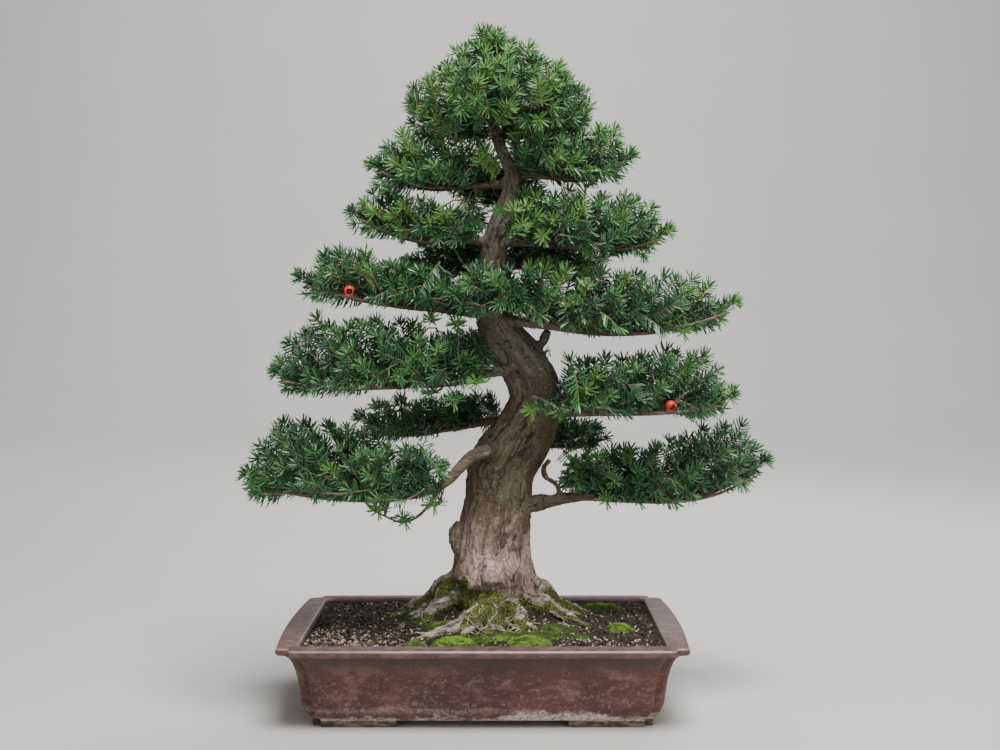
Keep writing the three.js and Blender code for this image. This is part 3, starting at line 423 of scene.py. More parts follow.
class Finish:
    """A material of one shader, with the one method that adds its nodes."""

    def __init__(self, name, **constants):
        self.material = bpy.data.materials.new(name)
        self.material.use_nodes = True
        self.tree = self.material.node_tree
        self.shader = self.tree.nodes["Principled BSDF"]
        self.place = self.node("ShaderNodeTexCoord", output="Object")
        for socket, value in constants.items():
            self.shader.inputs[socket.replace("_", " ").title().replace("Ior", "IOR")].default_value = value

    def node(self, kind, settings=None, inputs=None, output=0):
        """Adds a node with its settings and the values or links of its sockets. Gives one of its outputs."""
        node = self.tree.nodes.new(kind)
        for name, setting in (settings or {}).items():
            setattr(node, name, setting)
        for name, value in (inputs or {}).items():
            if isinstance(value, Value):
                self.tree.links.new(value.socket, node.inputs[name])
            else:
                node.inputs[name].default_value = value
        return Value(self, node.outputs[output])

    def attribute(self, name):
        """A value that the mesh carries for each of its points."""
        return self.node("ShaderNodeAttribute", {"attribute_name": name}, output="Fac")

    def stretched(self, place, scale):
        return self.node("ShaderNodeMapping", inputs={"Vector": place, "Scale": scale})

    def cloud(self, scale, detail=3.0, roughness=0.5, distortion=0.0, place=None):
        settings = {"Scale": scale, "Detail": detail, "Roughness": roughness, "Distortion": distortion}
        return self.node("ShaderNodeTexNoise", inputs={"Vector": place or self.place, **settings})

    def flakes(self, place, scale, count):
        """Ragged scales that lie over each other: the share across a point's scale, and its scale's draw."""
        steps = self.cloud(scale, 5, 0.55, 0.6, place) * count
        across = self.node("ShaderNodeMath", {"operation": "FRACT"}, {0: steps})
        level = steps - across
        return across, self.node("ShaderNodeTexWhiteNoise", {"noise_dimensions": "1D"}, {"W": level}, "Value")

    def warped(self, place, scale, reach):
        """A place that is pushed about by clouds, so that what is drawn on it gets ragged."""
        clouds = {"Vector": place, "Scale": scale, "Detail": 3.0}
        push = self.node("ShaderNodeTexNoise", inputs=clouds, output="Color")
        pushed = {0: push, 1: (reach,) * 3, 2: place}
        return self.node("ShaderNodeVectorMath", {"operation": "MULTIPLY_ADD"}, pushed)

    def cells(self, place, scale, feature="F1"):
        """The distance to the nearest of a scatter of points, or to the edge between two."""
        return self.node("ShaderNodeTexVoronoi", {"feature": feature}, {"Vector": place, "Scale": scale})

    def cell_draw(self, place, scale):
        """A draw from 0 to 1 that is the same all over a cell."""
        colour = self.node("ShaderNodeTexVoronoi", inputs={"Vector": place, "Scale": scale}, output="Color")
        return self.node("ShaderNodeSeparateColor", inputs={0: colour})

    def part(self, vector, axis):
        """One of the three numbers of a place or a direction."""
        return self.node("ShaderNodeSeparateXYZ", inputs={0: vector}, output=axis)

    def paint(self, share, first, second):
        """One colour laid over another."""
        colours = [(*colour, 1) if isinstance(colour, tuple) else colour for colour in (first, second)]
        return self.node(
            "ShaderNodeMix",
            {"data_type": "RGBA", "clamp_factor": True},
            {0: share, 6: colours[0], 7: colours[1]},
            output=2,
        )

    def coats(self, colour, *layers):
        """A first colour with others laid over it in turn: [share, colour]."""
        for share, over in layers:
            colour = self.paint(share, colour, over)
        return colour

    def done(self, colour, roughness, relief=None, depth=MM, strength=1.0, coat=0.0):
        """Links what varies, and returns the material. Relief is a height, in units of depth."""
        links = {"Base Color": colour, "Roughness": roughness, "Coat Weight": coat}
        if relief:
            bump = {"Height": relief, "Distance": depth, "Strength": strength}
            links["Normal"] = self.node("ShaderNodeBump", inputs=bump)
        for name, value in links.items():
            if isinstance(value, Value):
                self.tree.links.new(value.socket, self.shader.inputs[name])
            else:
                self.shader.inputs[name].default_value = value
        return self.material


def stoneware():
    """Unglazed clay: mottled red-brown walls, painted shade under the rim, a handled purple-brown rim with a
    painted highlight on its front edge, lime at the base and grey feet.
    """
    clay = Finish("stoneware", specular_ior_level=0.35, coat_roughness=0.2)
    height = clay.part(clay.place, "Z")
    across = clay.part(clay.place, "X")
    facing = clay.part(clay.node("ShaderNodeNewGeometry", output="Normal"), "Z")
    broad = clay.cloud(9, 4, 0.6)
    blotch = clay.cloud(26, 7, 0.7, 0.2, clay.stretched(clay.place, (1, 1, 1.5)))
    smear = clay.cloud(62, 5, 0.68, place=clay.stretched(clay.place, (1, 1, 2.6)))
    dust = clay.cloud(300, 5, 0.8)
    grit = clay.cloud(700, 2, 0.6)
    bloom = dust.between(0.46, 0.62) * smear.between(0.42, 0.62) * height.between(0.083, 0.05)
    # Painted shade: a darker band in the cove under the overhanging rim.
    painted_shade_under_rim = height.between(0.060, 0.079) * (0.6 + smear * 0.6)
    body = clay.coats(
        clay.paint(broad.between(0.36, 0.62), (0.078, 0.038, 0.030), (0.124, 0.049, 0.038)),
        (blotch.between(0.50, 0.62) * 0.75, (0.205, 0.103, 0.083)),
        (blotch.between(0.46, 0.34) * 0.5, (0.052, 0.032, 0.026)),
        (bloom * 0.62, (0.34, 0.235, 0.205)),
        (painted_shade_under_rim.clamped() * 0.8, (0.062, 0.044, 0.033)),
    )
    rim = height.between(0.0815, 0.0835)
    # Painted highlight: a pale line along the rim's rounded front edge, where the overhead light glints. The
    # same band also gets a glossy coat.
    painted_edge_highlight = height.between(0.0890, 0.0905) * facing.between(0.84, 0.62) * facing.between(0.12, 0.34)
    rim_colour = clay.coats(
        clay.paint(smear.between(0.4, 0.66), (0.092, 0.048, 0.048), (0.170, 0.088, 0.086)),
        (painted_edge_highlight * (0.3 + smear * 0.5), (0.48, 0.37, 0.365)),
    )
    right = across.between(-0.03, 0.02) * across.between(0.15, 0.075)
    lime_top = right * 0.006 + smear * 0.026 + blotch * 0.016 - 0.0105
    lime = (lime_top - height).between(-0.0050, 0.0045) * (0.15 + dust.between(0.36, 0.58) * 0.8)
    tide = height - blotch * 0.024 - 0.0095
    tide_line = tide.between(-0.0080, 0.0) * tide.between(0.0036, 0.0) * across.between(0.06, -0.04)
    dusty = 0.2 + dust.between(0.40, 0.60) * 0.8
    foot_colour = clay.paint(smear.between(0.4, 0.62), (0.078, 0.060, 0.048), (0.270, 0.215, 0.180))
    few = clay.cell_draw(clay.place, 210).between(0.86, 0.9)
    specks = clay.cells(clay.place, 210).between(0.16, 0.08) * few
    wear = facing.between(0.6, 0.95) * rim * smear.between(0.45, 0.7)
    colour = clay.coats(
        clay.paint(rim, body, rim_colour),
        (lime, (0.80, 0.70, 0.63)),
        (tide_line * dusty * 0.5, (0.45, 0.34, 0.29)),
        (height.between(0.0078, 0.0068), foot_colour),
        (specks * 0.4, (0.48, 0.38, 0.33)),
        (wear * 0.35, (0.22, 0.145, 0.14)),
    )
    rough = 0.58 + blotch * 0.2 + lime * 0.25 - rim * 0.12
    relief = grit * 0.5 + smear * 0.9 + lime * 0.5 + bloom * 0.3
    return clay.done(colour, rough.clamped(), relief, 0.6 * MM, 0.6, coat=painted_edge_highlight * 0.7 + 0.02)


def bark():
    """Old yew bark: olive-brown plates, pale and pinkish near the foot, with painted shade in its cracks and
    furrows, painted shadow and highlight at its flakes' edges, lichen and moss.
    """
    skin = Finish("bark", specular_ior_level=0.3)
    grain = skin.node("ShaderNodeAttribute", {"attribute_name": "grain"}, output="Vector")
    relief, thin, mossy, rooty = (skin.attribute(name) for name in ("relief", "thin", "mossy", "rooty"))
    height = skin.part(skin.place, "Z")
    along = skin.stretched(grain, (1, 1, 0.5))
    broad = skin.cloud(20, 4, 0.6, place=along)
    patch = skin.cloud(52, 5, 0.62, 0.8, along)
    fibre = skin.cloud(340, 5, 0.72, place=skin.stretched(grain, (1, 1, 0.13)))
    scale, tint = skin.flakes(skin.stretched(grain, (1, 1, 0.36)), 58, 11)
    small, small_tint = skin.flakes(along, 150, 8)
    ragged = skin.warped(along, 70, 0.03)
    crack = skin.cells(ragged, 88, "DISTANCE_TO_EDGE").between(0.07, 0.0)
    plate = skin.cell_draw(ragged, 88)
    foot = height.between(0.245, 0.16)
    upper = skin.coats(
        skin.paint(broad.between(0.36, 0.64), (0.068, 0.050, 0.024), (0.158, 0.118, 0.060)),
        (height.between(0.34, 0.41) * 0.65, (0.285, 0.268, 0.232)),
    )
    lower = skin.paint(patch.between(0.36, 0.60), (0.175, 0.120, 0.086), (0.520, 0.365, 0.288))
    pale = skin.paint(foot, (0.34, 0.28, 0.18), (0.80, 0.62, 0.52))
    fresh = plate.between(0.55, 0.95) * 0.6 + small_tint.between(0.6, 1.0) * 0.3
    # Pale grey streaks on the roots: partly real bleaching, partly painted highlight along the fibres.
    bleached_and_highlit = rooty * (0.05 + fibre.between(0.42, 0.60) * 0.85) * (0.45 + small_tint * 0.7)
    lichen = skin.cloud(150, 4, 0.7).between(0.58, 0.68)
    lichen = lichen * skin.cloud(21, 2).between(0.48, 0.58)
    sprouts = skin.cloud(460, 3, 0.6)
    green = (mossy + (skin.cloud(130, 6, 0.7) - 0.5) * 1.4).between(0.34, 0.74)
    moss_colour = skin.paint(sprouts.between(0.36, 0.66), (0.030, 0.036, 0.010), (0.165, 0.200, 0.045))
    colour = skin.coats(
        skin.paint(foot, upper, lower),
        (fresh * (0.5 + foot * 0.5), pale),
        (plate.between(0.34, 0.0) * 0.55, (0.075, 0.056, 0.040)),
        (tint.between(0.4, 0.0) * 0.35, (0.105, 0.078, 0.058)),
        (fibre.between(0.46, 0.7) * 0.4, pale),
        (rooty * 0.6, (0.20, 0.165, 0.125)),
        (bleached_and_highlit, (0.66, 0.61, 0.53)),
        # Dark streaks between them: partly darker bark, partly painted shade in the crevices between the
        # fibres.
        (rooty * fibre.between(0.5, 0.34) * 0.85, (0.060, 0.048, 0.034)),
        # Painted shadow: a dark line where each flake's edge overhangs the next.
        (scale.between(0.14, 0.0) * 0.5, (0.045, 0.032, 0.022)),
        # Painted shade in the cracks between the plates.
        (crack * (1 - thin) * patch.between(0.4, 0.6) * 0.5, (0.040, 0.030, 0.020)),
        # Painted highlight: a pale line on each flake's lip.
        (scale.between(0.8, 1.0) * 0.3, (0.46, 0.40, 0.33)),
        # Painted shade in the furrows, where the relief is low.
        (relief.between(0.42, 0.12) * 0.85, (0.030, 0.022, 0.015)),
        (thin * 0.45, (0.19, 0.14, 0.105)),
        (lichen * 0.55, (0.44, 0.46, 0.37)),
        (green, moss_colour),
    )
    bare = scale * 0.9 + small * 0.6 + fibre * 0.6 - crack * 0.4
    height_map = bare * (1 - green) + green * (sprouts + 0.6)
    return skin.done(colour, 0.82 + green * 0.16, height_map, 1.4 * MM, 1.0)


def twig_skin():
    """The skin of last years' twigs: red-brown to grey."""
    skin = Finish("twig_skin", specular_ior_level=0.3)
    patch = skin.cloud(70, 4, 0.6)
    ring = skin.cloud(420, 3, 0.6)
    colour = skin.paint(patch.between(0.4, 0.62), (0.105, 0.062, 0.042), (0.20, 0.155, 0.12))
    colour = skin.paint(ring.between(0.5, 0.7) * 0.5, colour, (0.30, 0.235, 0.185))
    return skin.done(colour, 0.8, ring, 0.6 * MM, 0.6)


def root_skin():
    """The fine roots: bleached grey over brown."""
    skin = Finish("root_skin", specular_ior_level=0.3)
    patch = skin.cloud(60, 4, 0.6)
    fleck = skin.cloud(500, 3, 0.7)
    colour = skin.paint(patch.between(0.36, 0.6), (0.15, 0.12, 0.09), (0.46, 0.415, 0.34))
    colour = skin.paint(fleck.between(0.5, 0.64) * 0.6, colour, (0.085, 0.065, 0.048))
    return skin.done(colour, 0.85, fleck, 0.6 * MM, 0.7)


def needles_finish():
    """Yew needles: deep green when old, yellow-green when young, satin, on olive to yellow-green stems."""
    leaf = Finish("needles", specular_ior_level=0.5, coat_roughness=0.3)
    fresh = leaf.attribute("fresh")
    stem = leaf.attribute("stem")
    tip = leaf.attribute("tip")
    patch = leaf.cloud(30, 3, 0.6)
    grain = leaf.cloud(150, 2, 0.5)
    age = (fresh + (patch - 0.5) * 0.7 + (grain - 0.5) * 0.35).clamped()
    colour = leaf.coats(
        leaf.paint(age.between(0.0, 0.5), (0.020, 0.074, 0.031), (0.050, 0.165, 0.058)),
        (age.between(0.45, 1.0), (0.120, 0.272, 0.066)),
        (tip * 0.4, (0.21, 0.34, 0.16)),
        (stem, leaf.paint(age.between(0.1, 0.7), (0.20, 0.145, 0.05), (0.37, 0.40, 0.07))),
    )
    return leaf.done(colour, 0.32 + stem * 0.25 + grain * 0.1, coat=0.18)


def soil_finish():
    """Damp black soil."""
    earth = Finish("soil", specular_ior_level=0.3)
    crumb = earth.cloud(260, 5, 0.7)
    colour = earth.paint(crumb.between(0.42, 0.66), (0.012, 0.010, 0.008), (0.050, 0.038, 0.028))
    return earth.done(colour, 0.92, crumb, 1.5 * MM, 0.9)


def grit_finish():
    """The grains of the mix: black loam, brown, tan and pinkish fired clay, and white pumice."""
    grain = Finish("grit")
    tone = grain.attribute("tone")
    speck = grain.cloud(900, 3, 0.6)
    colour = grain.coats(
        grain.paint(tone.between(0.0, 0.30), (0.014, 0.012, 0.010), (0.095, 0.066, 0.044)),
        (tone.between(0.34, 0.6), (0.34, 0.245, 0.165)),
        (tone.between(0.6, 0.8), (0.52, 0.36, 0.285)),
        (tone.between(0.8, 1.0), (0.68, 0.64, 0.55)),
        (speck.between(0.5, 0.7) * 0.35, (0.12, 0.09, 0.07)),
    )
    return grain.done(colour, 0.88, speck, 0.4 * MM, 0.6)


def moss_finish(name, least, most):
    """Moss: dark olive with vivid patches, which there are the more of, the lower least and most are."""
    moss = Finish(name, specular_ior_level=0.25)
    tip = moss.attribute("tip")
    patch = moss.cloud(42, 5, 0.72)
    fine = moss.cloud(500, 2, 0.6)
    bright = moss.paint(patch.between(least, most), (0.095, 0.130, 0.034), (0.290, 0.490, 0.060))
    colour = moss.paint(tip * (0.5 + fine * 0.9), (0.016, 0.028, 0.007), bright)
    return moss.done(colour, 0.9, fine, 0.8 * MM, 0.6)


def plastic_finish():
    """Moulded black mesh."""
    plastic = Finish("black_mesh", specular_ior_level=0.4)
    scuff = plastic.cloud(600, 3)
    colour = plastic.paint(scuff, (0.012, 0.013, 0.012), (0.035, 0.036, 0.034))
    return plastic.done(colour, 0.55 + scuff * 0.2, scuff, 0.2 * MM, 0.4)


def aril_finish():
    """The waxy red flesh of an aril."""
    flesh = Finish("aril_flesh", subsurface_weight=0.25, subsurface_scale=0.004, coat_roughness=0.2)
    patch = flesh.cloud(320, 3)
    colour = flesh.paint(patch.between(0.35, 0.65), (0.56, 0.012, 0.012), (0.74, 0.045, 0.022))
    return flesh.done(colour, 0.34 + patch * 0.1, patch, 0.3 * MM, 0.3, coat=0.15)


def seed_finish():
    """The dark, smooth seed."""
    seed = Finish("seed")
    patch = seed.cloud(500, 2)
    colour = seed.paint(patch, (0.022, 0.012, 0.008), (0.075, 0.045, 0.03))
    return seed.done(colour, 0.35 + patch * 0.1)


# How pieces are made.
def meshed(name, bm):
    """The mesh of a bmesh, which is used up."""
    mesh = bpy.data.meshes.new(name)
    bm.to_mesh(mesh)
    bm.free()
    return mesh


def shown(name, data):
    """An object in the scene that holds a mesh, a camera or a light."""
    holder = bpy.data.objects.new(name, data)
    bpy.context.scene.collection.objects.link(holder)
    return holder


def finish_piece(name, bm, finish, replaced=(), smooth=True):
    """Puts a piece that was made in millimetres into the frame."""
    bm.transform(TO_FRAME)
    for face in bm.faces:
        face.smooth = smooth
    mesh = meshed(name, bm)
    mesh.materials.append(finish)
    piece = shown(name, mesh)
    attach(piece, "root")
    if replaced:
        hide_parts(*replaced)


def tubes(limbs, roundness=1):
    """A mesh with one closed tube for each limb: [line, radius(share), steps, and from and to what share]."""
    curve = bpy.data.curves.new("tubes", "CURVE")
    curve.dimensions = "3D"
    curve.bevel_depth = 1
    curve.bevel_resolution = roundness
    curve.use_fill_caps = True
    for line, radius, steps, *span in limbs:
        start, end = span or (0, 1)
        spline = curve.splines.new("POLY")
        spline.points.add(steps)
        for k, point in enumerate(spline.points):
            share = mix(start, end, k / steps)
            point.co = (*line.at(share), 1)
            point.radius = radius(share)
    holder = bpy.data.objects.new("tubes", curve)
    mesh = bpy.data.meshes.new_from_object(holder)
    bpy.data.objects.remove(holder)
    bpy.data.curves.remove(curve)
    return mesh


def held(bm):
    """A passing object that holds a bmesh, which is used up."""
    return shown("held", meshed("held", bm))


def modified(bm, kind, **settings):
    """What a modifier makes of a bmesh, which is used up."""
    holder = held(bm)
    modifier = holder.modifiers.new("change", kind)
    for name, setting in settings.items():
        setattr(modifier, name, setting)
    graph = bpy.context.evaluated_depsgraph_get()
    mesh = bpy.data.meshes.new_from_object(holder.evaluated_get(graph))
    bpy.data.objects.remove(holder)
    made = bmesh.new()
    made.from_mesh(mesh)
    bpy.data.meshes.remove(mesh)
    return made


def joined(bm, other, operation):
    """A body with another one added to it or cut out of it."""
    tool = held(other)
    made = modified(bm, "BOOLEAN", operation=operation, object=tool)
    bpy.data.objects.remove(tool)
    return made


def only(geometry, kind):
    """The points or the edges of what an operator made."""
    return [item for item in geometry if isinstance(item, kind)]


def strew(bm, template, places):
    """Adds a copy of a small mesh at each of the given matrices."""
    for matrix in places:
        copy = template.copy()
        copy.transform(matrix)
        bm.from_mesh(copy)
        bpy.data.meshes.remove(copy)


def standing_at(place, way, turn, size):
    """A matrix that stands a template on a place, with its Z along way, turned about it and scaled."""
    return (
        Matrix.Translation(place)
        @ way.to_track_quat("Z", "Y").to_matrix().to_4x4()
        @ Matrix.Rotation(turn, 4, "Z")
        @ Matrix.Scale(size, 4)
    )


# The pot.
def arc(middle_x, middle_y, radius, start, end, count):
    """Points on an arc, with the angles in degrees."""
    angles = [math.radians(mix(start, end, k / (count - 1))) for k in range(count)]
    return [(middle_x + radius * math.cos(a), middle_y + radius * math.sin(a)) for a in angles]


def bowed(x, y, half_x, half_y):
    """A point of an outline, pushed out as the sides bow towards their middles."""
    return (
        x + SIDE_BOW * x / half_x * (1 - (y / half_y) ** 2),
        y + FRONT_BOW * y / half_y * (1 - (x / half_x) ** 2),
    )


# Where the straight sides carry points, as shares of half their length.
SIDE_SHARES = (0.1, 0.3, 0.5, 0.7)


def notched_quarter(half_x, half_y, notch):
    """One quarter of the plan outline: two soft corners with a fine inner corner between them."""
    soft, fine = 6, 1.5
    corner = (
        arc(half_x - soft, half_y - notch - soft, soft, 0, 90, 6)
        + arc(half_x - notch + fine, half_y - notch + fine, fine, 270, 180, 3)
        + arc(half_x - notch - soft, half_y - soft, soft, 0, 90, 6)
    )
    side = [(half_x, half_y * share) for share in SIDE_SHARES]
    front = [(half_x * share, half_y) for share in reversed(SIDE_SHARES)]
    return [bowed(x, y, half_x, half_y) for x, y in side + corner + front]


def rounded_quarter(half_x, half_y, soft):
    """One quarter of the hollow's outline, with as many points."""
    corner = arc(half_x - soft, half_y - soft, soft, 0, 90, 15)
    side = [(half_x, half_y * share) for share in SIDE_SHARES]
    return side + corner + [(half_x * share, half_y) for share in reversed(SIDE_SHARES)]


def whole_outline(quarter):
    """The outline that one quarter makes when it is mirrored both ways, anticlockwise."""
    back = quarter[::-1]
    return (
        quarter
        + [(-x, y) for x, y in back]
        + [(-x, -y) for x, y in quarter]
        + [(x, -y) for x, y in back]
    )


def add_ring(bm, outline, height):
    """A closed ring of edges."""
    corners = [bm.verts.new((x, y, height)) for x, y in outline]
    return [bm.edges.new((a, b)) for a, b in zip(corners, corners[1:] + corners[:1])]


def stacked(rings):
    """A closed body through a stack of rings: [outline, height]."""
    bm = bmesh.new()
    edges = [add_ring(bm, outline, height) for outline, height in rings]
    for below, above in zip(edges, edges[1:]):
        bmesh.ops.bridge_loops(bm, edges=below + above)
    for end in (edges[0], edges[-1]):
        bmesh.ops.edgenet_fill(bm, edges=end)
    bmesh.ops.recalc_face_normals(bm, faces=bm.faces)
    return bm


def make_foot(side_x, side_y):
    """An L-shaped foot under one corner, with softened edges."""
    inset, length, side_length, breadth, notch, slant = FOOT.values()
    half_x, half_y = POT_WIDTH / 2 - inset, POT_DEPTH / 2 - inset
    outline = [
        (half_x, half_y - side_length),
        (half_x, half_y - notch),
        (half_x - notch, half_y - notch),
        (half_x - notch, half_y),
        (half_x - length, half_y),
        (half_x - length + slant, half_y - breadth),
        (half_x - breadth, half_y - breadth),
        (half_x - breadth, half_y - side_length + slant),
    ]
    sunk = 1.5
    bm = stacked([(outline, 0), (outline, FOOT_HEIGHT + sunk)])
    rims = [edge for edge in bm.edges if min(vert.co.z for vert in edge.verts) < 0.1]
    bmesh.ops.bevel(bm, geom=rims, offset=1.8, segments=3, profile=0.5, affect="EDGES", material=-1)
    bmesh.ops.scale(bm, verts=bm.verts, vec=(side_x, side_y, 1))
    bmesh.ops.recalc_face_normals(bm, faces=bm.faces)
    return bm


def make_pot():
    """The fired pot: walls, rim, hollow, feet and drain holes."""
    half_x, half_y = POT_WIDTH / 2, POT_DEPTH / 2
    quarters = [(notched_quarter(half_x - inset, half_y - inset, notch), z) for z, inset, notch in WALL]
    quarters += [(rounded_quarter(half_x - inset, half_y - inset, CAVITY_CORNER), z) for z, inset in CAVITY]
    pot = stacked([(whole_outline(quarter), z) for quarter, z in quarters])
    for side_x in (-1, 1):
        for side_y in (-1, 1):
            pot = joined(pot, make_foot(side_x, side_y), "UNION")
    for x in (-DRAIN_X, DRAIN_X):
        drain = bmesh.new()
        bmesh.ops.create_cone(
            drain, cap_ends=True, segments=32, radius1=DRAIN_RADIUS, radius2=DRAIN_RADIUS,
            depth=FLOOR_TOP * 4, matrix=Matrix.Translation((x, 0, 0)),
        )
        pot = joined(pot, drain, "DIFFERENCE")
    for edge in pot.edges:
        edge.smooth = edge.calc_face_angle(0) < math.radians(32)
    finish_piece("clay_pot", pot, stoneware(), ["pot"])


# The wood.
def trunk_at(height):
    """The trunk's middle and radius at a height."""
    return [table_value(TRUNK_MIDDLES, height, column) for column in (1, 2, 3)]


def trunk_radius(share):
    return table_value(TRUNK_RADII, TRUNK_LINE.station(share))


# Between which heights the roots, rather than the trunk, make up the flare at the foot.
FLARE = (96, 158)


def stem_radius(share):
    """The trunk without the flare at its foot."""
    slim = 1 - 0.2 * (1 - step_between(*FLARE, TRUNK_LINE.at(share).z))
    return trunk_radius(share) * slim


def root_line(points):
    """A root's middle line, sunk a little into the soil."""
    sunk = 2
    return Line([(x, y, soil_height(x, y) + over - sunk) for x, y, over in points])


# Limbs without foliage: a short stub at the bend, a twisted twig on the right, a thin branch in front of the
# upper trunk and a bare twig under the lowest left branch. [points, first and last radius].
SPARE_LIMBS = [
    ([(60, 30, 404), (66, 20, 416), (76, 10, 436)], (8, 5.5)),
    ([(90, 4, 240), (86, 2, 254), (74, 0, 262), (70, -2, 274), (78, -4, 284)], (3.6, 3.1)),
    ([(48, 10, 470), (20, -16, 466), (-8, -26, 462), (-36, -26, 458)], (5, 3.2)),
    ([(-106, -70, 246), (-110, -76, 238), (-112, -80, 226)], (3.6, 2.6)),
]
# How thin and how thick a side root may be where it leaves, and how many each root has.
SIDE_ROOT = (2, 4.6)
SIDE_ROOTS = 6
# The size of the cells that the wood's skin is made of.
WOOD_GRAIN = 2.2


def root_limbs():
    """The surface roots, and the side roots that leave each to left and right and dive into the soil."""
    draw = random.Random(41).uniform
    limbs = []
    for points, (first, last) in ROOTS:
        line = root_line(points)

        def girth(share, first=first, last=last):
            return mix(first, last, share**0.7) * (1 + 0.16 * math.sin(share * 21))

        limbs.append((line, girth, 16))
        for k in range(SIDE_ROOTS):
            share = draw(0.22, 0.9)
            ahead = line.ahead(share)
            side = ahead.cross(UP) * (-1 if k % 2 else 1)
            thick = min(max(girth(share) * draw(0.2, 0.4), SIDE_ROOT[0]), SIDE_ROOT[1])
            spot = line.at(share) + side * girth(share) * 0.5
            way = (ahead * draw(0.4, 1.3) + side).normalized()
            step_length = draw(8, 17)
            places = [spot]
            for over in (thick * 0.6, thick * 0.2, -4):
                way = (way + ahead * draw(-0.3, 0.7) + side * draw(-0.5, 0.5)).normalized()
                spot = spot + way * step_length
                places.append(Vector((spot.x, spot.y, soil_height(spot.x, spot.y) + over)))
            limbs.append((Line(places), taper(thick, 1.6), 12))
    return limbs


def branch_radius(branch):
    """The radius of a branch at a share of its length, with the flare where it leaves the trunk."""
    first, last = branch["radii"]

    def radius(share):
        flare = 1 + 0.5 * max(0, 1 - share * 10)
        return mix(first, last, math.sqrt(share)) * flare

    return radius


# How thin a limb may be in the one skin of the wood. Past that it is a tube of its own.
THINNEST = 3.1


def thick_share(radius):
    """The share of a limb's length that is thick enough for the skin."""
    return max(k / 40 for k in range(41) if radius(k / 40) >= THINNEST)


def bark_relief(grain, place):
    """How far the bark stands out, from 0 in the furrows to about 1 on the scales."""
    x, y, along = grain
    broad = noise.fractal(Vector((x / 24, y / 24, along / 75)), 0.9, 2.1, 3)
    split = abs(noise.fractal(Vector((x / 17 + 3, y / 17, along / 62)), 0.8, 2.1, 3))
    steps = 2.6 * noise.fractal(Vector((x / 13, y / 13, along / 26)), 0.9, 2.2, 3)
    scale = steps - math.floor(steps)
    crumbs = noise.noise(place / 3.4)
    furrow = 1 - step_between(0.0, 0.13, split)
    return 0.62 + 0.34 * broad - 0.42 * furrow + 0.26 * (scale - 0.5) + 0.1 * crumbs


# Old scars on the trunk: [middle, ring radius, ring width, ring height, radius of the pit, its depth].
SCARS = [
    (Vector((-45, 4, 193)), 9.5, 3.4, 3.2, 4.2, 8),
    (Vector((46, 2, 322)), 9, 2.8, 2.6, 5, 3),
    (Vector((-13, -4, 262)), 8, 2.6, 2.4, 4.4, 3),
    (Vector((30, -12, 208)), 11, 4, 2.2, 6, 3.5),
]
# How far round its middle a scar is worked out, and how high the lip of old bark over the front roots is.
SCAR_REACH = 30
LIP_HEIGHT = 139


def swellings(place, turn, radius):
    """How far the trunk bulges: its scars, its flutes and the lip of old bark over the roots."""
    swell = 0.0
    for middle, ring, width, height, pit, depth in SCARS:
        apart = (place - middle).length
        if apart < SCAR_REACH:
            swell += height * bell(apart - ring, width) - depth * bell(apart, pit)
    if place.y < 20:
        spread = bell(place.x - 1, 24) * (1 + 0.25 * math.sin(place.x * 0.4))
        lip = LIP_HEIGHT + 4 * math.sin(place.x * 0.13)
        risen = 5.5 * spread * step_between(lip - 5, lip, place.z)
        swell += risen * (1 - step_between(lip + 6, lip + 40, place.z))
        sunk = 5 * spread * step_between(lip - 22, lip - 14, place.z)
        swell -= sunk * (1 - step_between(lip - 8, lip - 3, place.z))
    flute = 0.035 * math.sin(turn * 3 + place.z * 0.016) + 0.03 * math.sin(turn * 7 - place.z * 0.03 + 1.3)
    return swell + flute * radius


def close_to(limbs):
    """A tree of the middles of some limbs, and their radii."""
    steps = 24
    spots = [
        (line.at(k / steps), radius(k / steps)) for line, radius, *_ in limbs for k in range(steps + 1)
    ]
    tree = kdtree.KDTree(len(spots))
    for index, (spot, _) in enumerate(spots):
        tree.insert(spot, index)
    tree.balance()
    return tree, [radius for _, radius in spots]


# How many fine roots there are.
STRANDS = 46


def make_strands(surface):
    """Fine roots that wander down over the thick ones and run out over the soil."""
    draw = random.Random(57).uniform
    limbs = []
    for k in range(STRANDS):
        turn = math.radians(draw(-100, 100) if k % 5 else draw(100, 260))
        reach = draw(60, 98)
        stride = draw(3, 8)
        drift = draw(-0.05, 0.05)
        points = []
        for _ in range(8):
            x, y = TRUNK_FOOT[0] + math.sin(turn) * reach, TRUNK_FOOT[1] - math.cos(turn) * reach * 0.92
            hit = surface.ray_cast(Vector((x, y, 150)), -UP)[0]
            level = soil_height(x, y)
            points.append((x, y, max(level, hit.z if hit else level) + 0.3))
            drift += draw(-0.07, 0.07)
            turn += drift
            reach += stride * draw(0.5, 1.5)
        points[-1] = (*points[-1][:2], soil_height(*points[-1][:2]) - 3)
        thick = draw(0.6, 1.35)
        limbs.append((Line(points, 5), lambda share, thick=thick: thick * (1.1 - share * 0.7), 24))
    bm = bmesh.new()
    bm.from_mesh(tubes(limbs, 0))
    finish_piece("root_strands", bm, root_skin())


# Over this height the skin has no roots and no moss. Over this share of moss, tufts may stand on it.
ROOTS_TOP = 170
DAMP = 0.7


